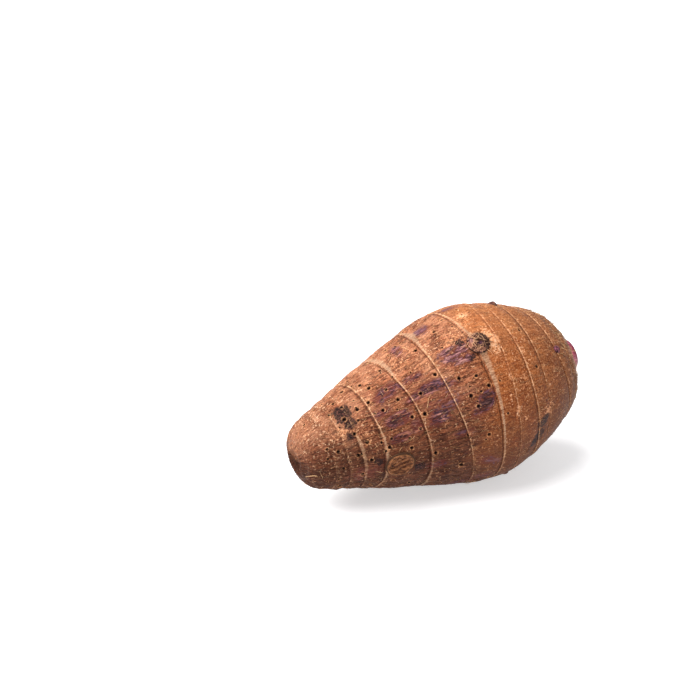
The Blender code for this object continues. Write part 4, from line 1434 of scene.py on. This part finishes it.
def body_hairs(settings):
    """Thin hairs over the whole skin, most of them on the head."""
    draw = np.random.default_rng(HAIR_SEED)
    count = settings.hair_count
    on_head = draw.random(count) < HEAD_HAIR_SHARE
    places = np.where(on_head, draw.uniform(*HEAD_HAIR_PLACES, count), draw.uniform(*TAIL_HAIR_PLACES, count))
    angles = any_angle(draw, count)
    headings = draw.normal(0.0, 0.55, count) + np.pi * (draw.random(count) < BACKWARD_HAIR_SHARE)
    lengths = draw.uniform(*HAIR_LENGTHS, count)
    lifts = 0.1 + 1.1 * draw.random(count) ** 3
    return skin_paths(draw, places, angles, headings, lengths, lifts)


def crown_hairs(settings):
    """Denser hairs round the shoulder that lean towards the leaf stalks."""
    draw = np.random.default_rng(CROWN_HAIR_SEED)
    count = settings.crown_hair_count
    places = CROWN_HAIR_PLACE - CROWN_HAIR_SPREAD * draw.random(count) ** 1.6
    angles = any_angle(draw, count)
    headings = draw.normal(0.0, 0.4, count)
    lengths = np.minimum(draw.uniform(*CROWN_HAIR_LENGTHS, count), arc_at(CROWN_HAIR_END) - arc_at(places))
    lifts = 0.1 + 1.7 * draw.random(count) ** 2
    return skin_paths(draw, places, angles, headings, lengths, lifts)


def ring_hairs():
    """Short hairs left of the old leaf bases along the rings."""
    draw = np.random.default_rng(RING_HAIR_SEED)
    paths = []
    for ring in RINGS:
        count = int(14 * radius_at(ring.place) / 10 * min(1.0, ring.depth + 0.2))
        angles = any_angle(draw, count)
        rows = np.full(count, ring.place) + draw.normal(0.0, RING_HAIR_SPREAD, count)
        places = rows + ring_lean(rows, angles)
        headings = draw.normal(0.0, 0.6, count)
        lengths = draw.uniform(*RING_HAIR_LENGTHS, count)
        lifts = 0.1 + 0.5 * draw.random(count)
        paths.append(skin_paths(draw, places, angles, headings, lengths, lifts))
    return np.concatenate(paths)


def rootlets():
    """A few dry rootlets near the tail and under the belly."""
    draw = np.random.default_rng(ROOTLET_SEED)
    places = draw.uniform(*ROOTLET_PLACES, ROOTLET_COUNT)
    angles = any_angle(draw, ROOTLET_COUNT)
    headings = any_angle(draw, ROOTLET_COUNT)
    lengths = draw.uniform(*ROOTLET_LENGTHS, ROOTLET_COUNT)
    return skin_paths(draw, places, angles, headings, lengths, draw.uniform(*ROOTLET_LIFTS, ROOTLET_COUNT))


def bud_threads(spot, count, seed, steps=8):
    """Tangled threads over a fibrous bud, with a few that lean out past its edge."""
    draw = np.random.default_rng(seed)
    share = np.linspace(0.0, 1.0, steps)[None, :]
    start_turn = any_angle(draw, count)
    start = spot.radius * np.sqrt(draw.random(count)) * 0.95
    heading = any_angle(draw, count, 1) + draw.normal(0.0, 0.5, (count, 1)) * share
    heading = heading + draw.normal(0.0, 0.15, (count, steps))
    step = draw.uniform(*THREAD_LENGTHS, (count, 1)) / (steps - 1)
    x = (start * np.cos(start_turn))[:, None] + np.cumsum(np.cos(heading) * step, axis=1)
    y = (start * np.sin(start_turn))[:, None] + np.cumsum(np.sin(heading) * step, axis=1)
    reach = np.minimum(np.hypot(x, y) / spot.radius, 1.15)
    dome = FIBRE_BUD_HEIGHT * spot.radius * np.maximum(1.0 - reach ** 2.4, 0.0)
    lift = draw.uniform(*THREAD_LIFTS, (count, 1)) * (0.35 + np.sin(np.pi * share)) + 0.02
    return moved_by(growth_matrix(spot), np.stack((x, y, dome + lift), axis=-1))


def fibre_finish(name, light, dark):
    """Dry plant hair, some strands pale and some dark, and all darker at the root."""
    finish = Finish(name)
    share, shade = finish.parts(finish.attribute("strand"))[:2]
    mottle = finish.noise(finish.place(2.0), 2.0)
    base = finish.paint(dark, light, shade + (mottle - 0.5) * 0.5, 0.15, 0.85)
    base = finish.mix(finish.fall(share, 0.0, 0.25) * 0.5, base, dark)
    normal = finish.bump(mottle, FIBRE_BUMP)
    return finish.finished(base, 0.6 + (mottle - 0.5) * 0.2, normal, Specular_IOR_Level=0.1)


def floor_finish(settings):
    """Matt white studio floor that glows a little of its own, which lightens the shadows on it."""
    finish = Finish("studio_floor")
    fine = finish.noise(finish.place(FLOOR_CELL), 2.0)
    base = finish.mix(fine * 0.12, settings.floor_colour, settings.floor_shade)
    finish.shader.inputs["Emission Color"].default_value = WHITE
    return finish.finished(base, 0.9 + (fine - 0.5) * 0.1, finish.bump(fine, FLOOR_BUMP),
                           Specular_IOR_Level=0.1, Emission_Strength=settings.floor_glow)


def colour_property(label, about, red, green, blue, light=STUDIO_LIGHT):
    """A colour in a panel, its default given as it shows on a screen."""
    return FloatVectorProperty(name=label, description=about, default=colour(red, green, blue, light),
                               subtype="COLOR", min=0.0, max=1.0)


def number_property(label, about, default, **limits):
    """A number in a panel, 0 or more unless its limits say otherwise."""
    return FloatProperty(name=label, description=about, default=default, **{"min": 0.0, **limits})


def angle_property(label, about, degrees, **limits):
    """An angle in a panel, its default given in degrees."""
    return FloatProperty(name=label, description=about, default=math.radians(degrees), subtype="ANGLE",
                         unit="ROTATION", **limits)


def count_property(label, about, default):
    """How many there are of something, in a panel."""
    return IntProperty(name=label, description=about, default=default, min=1)


def length_property(label, about, default):
    """A length in a panel."""
    return number_property(label, about, default, unit="LENGTH", precision=5)


class TaroSkinSettings(bpy.types.PropertyGroup):
    """Sizes and colours of the skin."""

    wrinkle_height: length_property("Wrinkle height", "Height of the wrinkles along the skin", 0.26 * MM)
    unevenness: length_property("Unevenness", "Height of the small bumps of the skin", 0.10 * MM)
    head_light: colour_property("Head, light", "Younger skin, on its fibres", 176, 99, 48)
    head_dark: colour_property("Head, dark", "Younger skin, between its fibres", 114, 53, 22)
    head_red: colour_property("Head, reddish", "Warmer clouds in the younger skin", 154, 76, 32)
    # Dark fibres, and painted shade on the end of the head.
    shoulder_fibre_and_shade_colour: colour_property("Shoulder", "Dark fibres near the leaf stalks", 86, 42, 22)
    tail_light: colour_property("Tail, light", "Older skin, on its wrinkles", 190, 108, 70)
    # Painted highlights on the ridges.
    ridge_highlight_colour: colour_property("Ridges", "Older skin, on its highest ridges", 202, 125, 86)
    tail_dark: colour_property("Tail, dark", "Older skin, between its wrinkles", 64, 28, 17)
    tail_red: colour_property("Tail, reddish", "Redder clouds in the older skin", 130, 62, 34)
    # Also lays the painted light on the top of the head.
    thread_and_top_light_colour: colour_property("Threads", "Pale fibres in the skin", 214, 152, 104)
    # Painted shade in crevices, ring grooves and the stalks' seat, and also dark specks.
    shade_and_speck_colour: colour_property("Shade", "Dark lines between fibres and along the rings", 52, 24, 14)
    flesh_colour: colour_property("Flesh", "Thin pale skin and scuffs", 220, 150, 104)
    tint_colour: colour_property("Tint", "Mauve tint round the purple stains", 108, 50, 42)
    stain_light: colour_property("Stain, light", "Blue-purple stains, on the fibres", 108, 65, 77)
    stain_blue: colour_property("Stain, blue", "Bluer parts of the purple stains", 74, 60, 84)
    stain_dark: colour_property("Stain, dark", "Blue-purple stains, between the fibres", 34, 18, 27)
    stain_brown: colour_property("Stain, brown", "Weak purple stains, on the fibres", 94, 54, 48)
    # Painted pink highlight on the stains.
    stain_pink_highlight: colour_property("Stain, pink", "Purple stains, on the highest fibres", 196, 142, 134)
    # Soil, and painted shade on the underside.
    soil_and_shade_colour: colour_property("Soil", "Soil left in the skin of the underside", 58, 28, 14)
    scab_colour: colour_property("Scabs", "Dark crusts", 31, 18, 17)
    # Painted shade at the bottom of the root scars.
    pit_shade_colour: colour_property("Root scars", "Bottom of the root scars", 28, 16, 13)
    edge_light: colour_property("Ring edge, light", "Pale edge of the leaf-scar rings", 232, 186, 146)
    edge_dark: colour_property("Ring edge, dark", "Pale edge, between its fibres", 176, 122, 86)
    band_light: colour_property("Wide ring edge, light", "Wide pale bands of the rings", 202, 165, 134)
    band_dark: colour_property("Wide ring edge, dark", "Wide pale bands, between their fibres", 150, 113, 88)
    flake_colour: colour_property("Flakes", "Loose pale flakes", 238, 196, 160)
    film_dark: colour_property("Film, dark", "Smooth older skin, in its hollows", 146, 84, 58)
    film_colour: colour_property("Film", "Smooth older skin", 204, 142, 108)
    cork_light: colour_property("Cork, light", "Corky band round the leaf stalks", 206, 178, 140)
    cork_dark: colour_property("Cork, dark", "Corky band, in its cracks", 140, 104, 72)
    leaf_base_colour: colour_property("Leaf base", "Band next to the leaf stalks", 176, 140, 138)


class TaroGrowthSettings(bpy.types.PropertyGroup):
    """Sizes and colours of the buds and cut scars."""

    fibre_bud_height: number_property("Fibrous bud height", "Height as a share of the radius",
                                      FIBRE_BUD_HEIGHT, min=0.1, max=1.0, subtype="FACTOR")
    small_bud_height: number_property("Small bud height", "Height as a share of the radius",
                                      SMALL_BUD_HEIGHT, min=0.1, max=1.0, subtype="FACTOR")
    bud_light: colour_property("Bud, light", "Fibrous buds, on their fibres", 104, 58, 44)
    bud_dark: colour_property("Bud, dark", "Fibrous buds, between their fibres", 42, 22, 19)
    dried_light: colour_property("Dried bud, light", "Small dried buds, on their fibres", 74, 44, 40)
    dried_dark: colour_property("Dried bud, dark", "Small dried buds, between their fibres", 26, 15, 15)
    pink_light: colour_property("Pink bud, light", "The young bud near the head", 170, 92, 116)
    pink_dark: colour_property("Pink bud, dark", "The young bud, in its folds", 44, 24, 34)
    leaf_tint: colour_property("Leaf tint", "Purple-grey parts of the scale leaves", 100, 66, 88)
    leaf_red: colour_property("Leaf, reddish", "Reddish parts of the scale leaves", 150, 86, 66)
    leaf_edge: colour_property("Leaf edge", "Worn edge of the scale leaves", 188, 136, 110)
    # Painted shade in gaps and folds, and dark specks.
    gap_shade_and_speck_colour: colour_property("Gaps", "Gaps between scale leaves and round scars", 32, 18, 13)
    scar_light: colour_property("Scar, light", "Dried flesh of a cut scar", 150, 96, 60)
    scar_dark: colour_property("Scar, dark", "Dried flesh, in its cracks", 86, 48, 28)
    # Partly a painted highlight on the lip.
    scar_lip_and_highlight: colour_property("Scar lip", "Raised lip round a cut scar", 172, 118, 76)


class TaroStalkSettings(bpy.types.PropertyGroup):
    """Colours of the leaf stalks."""

    foot_colour: colour_property("Foot", "Pale foot of the outer stalk", 240, 190, 190)
    stalk_colour: colour_property("Stalk", "Pink of the outer stalk", 206, 62, 100)
    stalk_dark: colour_property("Stalk, dark", "Dark streaks of the outer stalk", 120, 22, 54)
    green_streak: colour_property("Green streak", "Yellow-green streaks of the outer stalk", 190, 176, 88)
    cut_flesh: colour_property("Cut flesh", "Flesh on the cut end", 216, 200, 190)
    pore_colour: colour_property("Pores", "Small holes of the cut flesh", 150, 104, 92)
    cut_edge: colour_property("Cut edge", "Dried edges of the cut", 74, 58, 44)
    core_light: colour_property("Core, light", "Rolled inner stalk", 234, 166, 84)
    core_dark: colour_property("Core, dark", "Rolled inner stalk, in its streaks", 196, 112, 58)


class TaroFibreSettings(bpy.types.PropertyGroup):
    """Numbers, sizes and colours of the hairs and threads."""

    hair_count: count_property("Hairs", "Hairs over the whole skin", 1700)
    crown_hair_count: count_property("Crown hairs", "Hairs round the shoulder", 900)
    thread_count: count_property("Bud threads", "Threads on the large fibrous bud", 66)
    hair_width: length_property("Hair radius", "Radius of a hair at its root", 0.075 * MM)
    hair_light: colour_property("Hair, light", "Palest hairs", 226, 180, 132)
    hair_dark: colour_property("Hair, dark", "Darkest hairs", 92, 56, 34)
    thread_light: colour_property("Bud thread, light", "Palest threads on the buds", 222, 170, 130)
    thread_dark: colour_property("Bud thread, dark", "Darkest threads on the buds", 70, 38, 30)


class TaroStageSettings(bpy.types.PropertyGroup):
    """Floor, lights and camera."""

    floor_size: length_property("Floor size", "Side of the floor", 30.0)
    floor_colour: colour_property("Floor", "Colour of the floor", 200, 200, 203, 1.0)
    floor_shade: colour_property("Floor, shade", "Faint clouds in the floor", 192, 192, 198, 1.0)
    floor_glow: number_property("Floor glow", "Light that the floor gives off", 0.54)
    sky_strength: number_property("Sky", "Strength of the even light", 0.56)
    key_strength: number_property("Key light", "Strength of the soft light", 7.3)
    key_angle: angle_property("Key size", "How wide the soft light is seen", 62.0, min=0.0, max=math.pi)
    focal_length: number_property("Focal length", "Focal length of the camera in mm", 93.913, min=1.0)
    elevation: angle_property("Elevation", "How far the camera looks down", 24.0)
    azimuth: angle_property("Azimuth", "Turn of the camera round the corm", -28.77)


FLOOR_CELL = 60.0
FLOOR_BUMP = 0.02 * MM
FLOOR_GAP = 0.02 * MM
SENSOR_WIDTH = 36.0
CAMERA_DISTANCE = 900.0 * MM
AIM_PLACE = 78.0 * MM
AIM_RIGHT = 42.63 * MM
AIM_UP = -30.93 * MM
KEY_FROM = (-0.60, 0.24, 1.0)
KEY_COLOUR = (1.0, 0.985, 0.96)
WHITE = (1.0, 1.0, 1.0, 1.0)


class AddStage(bpy.types.Operator):
    """Add the floor, the soft lights and the camera"""

    bl_idname = "taro.add_stage"
    bl_label = "Stage"

    def execute(self, context):
        settings = context.scene.taro_stage
        self.add_floor(settings)
        self.add_lights(context, settings)
        self.add_camera(context, settings)
        return {"FINISHED"}

    def add_floor(self, settings):
        """A wide matt floor just under the corm."""
        bpy.ops.mesh.primitive_plane_add(size=settings.floor_size, location=(0.0, 0.0, -FLOOR_GAP))
        floor = bpy.context.object
        floor.name = "studio_floor"
        floor.data.materials.append(floor_finish(settings))

    def add_lights(self, context, settings):
        """Even white light from all round, and one large soft light from above."""
        world = bpy.data.worlds.new("studio_light")
        world.use_nodes = True
        background = world.node_tree.nodes["Background"]
        background.inputs["Color"].default_value = WHITE
        background.inputs["Strength"].default_value = settings.sky_strength
        context.scene.world = world
        light = bpy.data.lights.new("soft_key", "SUN")
        light.energy = settings.key_strength
        light.angle = settings.key_angle
        light.color = KEY_COLOUR
        lamp = bpy.data.objects.new("soft_key", light)
        lamp.rotation_euler = Vector(KEY_FROM).to_track_quat("Z", "Y").to_euler()
        context.scene.collection.objects.link(lamp)
        context.scene.view_settings.view_transform = "Standard"

    def add_camera(self, context, settings):
        """A camera that looks down on the corm from its -Y side, past its tail."""
        right = Vector((math.cos(settings.azimuth), math.sin(settings.azimuth), 0.0))
        level = Vector((math.sin(settings.azimuth), -math.cos(settings.azimuth), 0.0))
        back = level * math.cos(settings.elevation) + Vector((0.0, 0.0, math.sin(settings.elevation)))
        up = back.cross(right)
        lens = bpy.data.cameras.new("camera")
        lens.lens = settings.focal_length
        lens.sensor_width = SENSOR_WIDTH
        camera = bpy.data.objects.new("camera", lens)
        aim = lying_matrix() @ Vector((AIM_PLACE, 0.0, 0.0))
        camera.matrix_world = Matrix((right, up, back)).transposed().to_4x4()
        camera.location = aim - right * AIM_RIGHT - up * AIM_UP + back * CAMERA_DISTANCE
        context.scene.collection.objects.link(camera)
        context.scene.camera = camera


class AddSkin(bpy.types.Operator):
    """Add the skin of the corm, in stretches that meet in the grooves of two rings"""

    bl_idname = "taro.add_skin"
    bl_label = "Skin"

    def execute(self, context):
        settings = context.scene.taro_skin
        material = SkinFinish(settings).made()
        for stretch in STRETCHES:
            points, attributes = stretch_sheet(stretch, settings)
            show_piece(stretch.name, sheet_mesh(stretch.name, points, attributes), material, "skin", "corm")
        return {"FINISHED"}


class AddBuds(bpy.types.Operator):
    """Add the two fibrous buds and the small buds"""

    bl_idname = "taro.add_buds"
    bl_label = "Buds"

    def execute(self, context):
        settings = context.scene.taro_growths
        brown = bud_finish(settings, "bud_leaves", settings.bud_light, settings.bud_dark, 0.75)
        pink = bud_finish(settings, "pink_bud_leaves", settings.pink_light, settings.pink_dark, 0.2)
        dried = bud_finish(settings, "dried_bud_leaves", settings.dried_light, settings.dried_dark, 0.3)
        for number, bud in enumerate(FIBRE_BUDS):
            self.add_bud(f"fibrous_bud_{number + 1}", bud, settings.fibre_bud_height, brown, FIBRE_BUD_MESH,
                         FIBRE_BUD_SEED + number)
        for number, bud in enumerate(SMALL_BUDS):
            material = pink if bud.place in PINK_BUD_PLACES else dried
            self.add_bud(f"small_bud_{number + 1}", bud, settings.small_bud_height, material, SMALL_BUD_MESH,
                         SMALL_BUD_SEED + number)
        return {"FINISHED"}

    def add_bud(self, name, bud, height_share, material, mesh_size, seed):
        """One bud, its tip a little towards the head."""
        height = height_share * bud.radius
        relief = bud_relief(bud, height, seed)
        points, attributes = growth_sheet(bud, BUD_ROOT_DEPTH * height, relief, mesh_size)
        show_piece(name, sheet_mesh(name, points, attributes), material, "skin", "corm")


class AddScars(bpy.types.Operator):
    """Add the two scars where side corms were cut off"""

    bl_idname = "taro.add_scars"
    bl_label = "Cut scars"

    def execute(self, context):
        material = scar_finish(context.scene.taro_growths)
        for number, scar in enumerate(CUT_SCARS):
            name = f"cut_scar_{number + 1}"
            relief = scar_relief(scar, CUT_SCAR_SEED + number)
            points, attributes = growth_sheet(scar, SCAR_ROOT_DEPTH, relief, CUT_SCAR_MESH, SCAR_SHAPE)
            show_piece(name, sheet_mesh(name, points, attributes), material, "skin", "corm")
        return {"FINISHED"}


class AddStalks(bpy.types.Operator):
    """Add the cut bases of the outer and the inner leaf stalk"""

    bl_idname = "taro.add_stalks"
    bl_label = "Leaf stalks"

    def execute(self, context):
        settings = context.scene.taro_stalks
        show_piece("outer_leaf_stalk_base", outer_stalk_mesh(), outer_stalk_finish(settings), "stalk",
                   "outer_leaf_stalk")
        show_piece("inner_leaf_stalk_base", inner_stalk_mesh(), inner_stalk_finish(settings), "stalk_core",
                   "inner_leaf_stalk")
        return {"FINISHED"}


class AddFibres(bpy.types.Operator):
    """Add the hairs on the skin, the rootlets and the threads on the fibrous buds"""

    bl_idname = "taro.add_fibres"
    bl_label = "Fibres"

    def execute(self, context):
        settings = context.scene.taro_fibres
        dry_fibre = fibre_finish("dry_fibre", settings.hair_light, settings.hair_dark)
        bud_fibre = fibre_finish("bud_fibre", settings.thread_light, settings.thread_dark)
        hair = settings.hair_width / MM
        kinds = (("skin_hairs", body_hairs(settings), 1.0), ("crown_hairs", crown_hairs(settings), 1.3),
                 ("ring_hairs", ring_hairs(), 1.0), ("rootlets", rootlets(), 2.6))
        for number, (name, paths, width) in enumerate(kinds):
            self.add_strands(name, paths, hair * width, dry_fibre, WIDTH_SEED + number)
        for number, bud in enumerate(FIBRE_BUDS):
            count = int(settings.thread_count * (bud.radius / FIBRE_BUDS[0].radius) ** 2)
            paths = bud_threads(bud, count, THREAD_SEED + number)
            self.add_strands(f"bud_threads_{number + 1}", paths, hair * 2.1, bud_fibre,
                             THREAD_WIDTH_SEED + number, 1.1)
        return {"FINISHED"}

    def add_strands(self, name, paths, width, material, seed, darkness=1.0):
        """One piece of many strands; the higher their darkness, the fewer of them are pale."""
        draw = np.random.default_rng(seed)
        widths = tapered(len(paths), paths.shape[1], width) * draw.uniform(0.7, 1.3, (len(paths), 1))
        mesh = strand_mesh(name, paths, widths, draw.random(len(paths)) ** darkness)
        show_piece(name, mesh, material, "skin")


OPERATORS = (AddStage, AddSkin, AddBuds, AddScars, AddStalks, AddFibres)


class TaroPanel(bpy.types.Panel):
    """The pieces of the taro corm, and their sizes and colours"""

    bl_idname = "VIEW3D_PT_taro"
    bl_label = "Taro corm"
    bl_space_type = "VIEW_3D"
    bl_region_type = "UI"
    bl_category = "Taro"

    def draw(self, context):
        layout = self.layout
        for operator in OPERATORS:
            layout.operator(operator.bl_idname)
        for name in SETTINGS:
            settings = getattr(context.scene, name)
            box = layout.box()
            for key in settings.bl_rna.properties.keys():
                if key not in ("rna_type", "name"):
                    box.prop(settings, key)


SETTINGS = {
    "taro_skin": TaroSkinSettings,
    "taro_growths": TaroGrowthSettings,
    "taro_stalks": TaroStalkSettings,
    "taro_fibres": TaroFibreSettings,
    "taro_stage": TaroStageSettings,
}


def register():
    """Register the settings, the operators and the panel."""
    for name, group in SETTINGS.items():
        bpy.utils.register_class(group)
        setattr(bpy.types.Scene, name, PointerProperty(type=group))
    for part in (*OPERATORS, TaroPanel):
        bpy.utils.register_class(part)


def unregister():
    """Remove the panel, the operators and the settings."""
    for part in reversed((*OPERATORS, TaroPanel)):
        bpy.utils.unregister_class(part)
    for name, group in reversed(SETTINGS.items()):
        delattr(bpy.types.Scene, name)
        bpy.utils.unregister_class(group)


def main():
    """Dress the corm, piece by piece."""
    register()
    bpy.ops.taro.add_stage()
    bpy.ops.taro.add_skin()
    bpy.ops.taro.add_buds()
    bpy.ops.taro.add_scars()
    bpy.ops.taro.add_stalks()
    bpy.ops.taro.add_fibres()


if __name__ == "__main__":
    main()
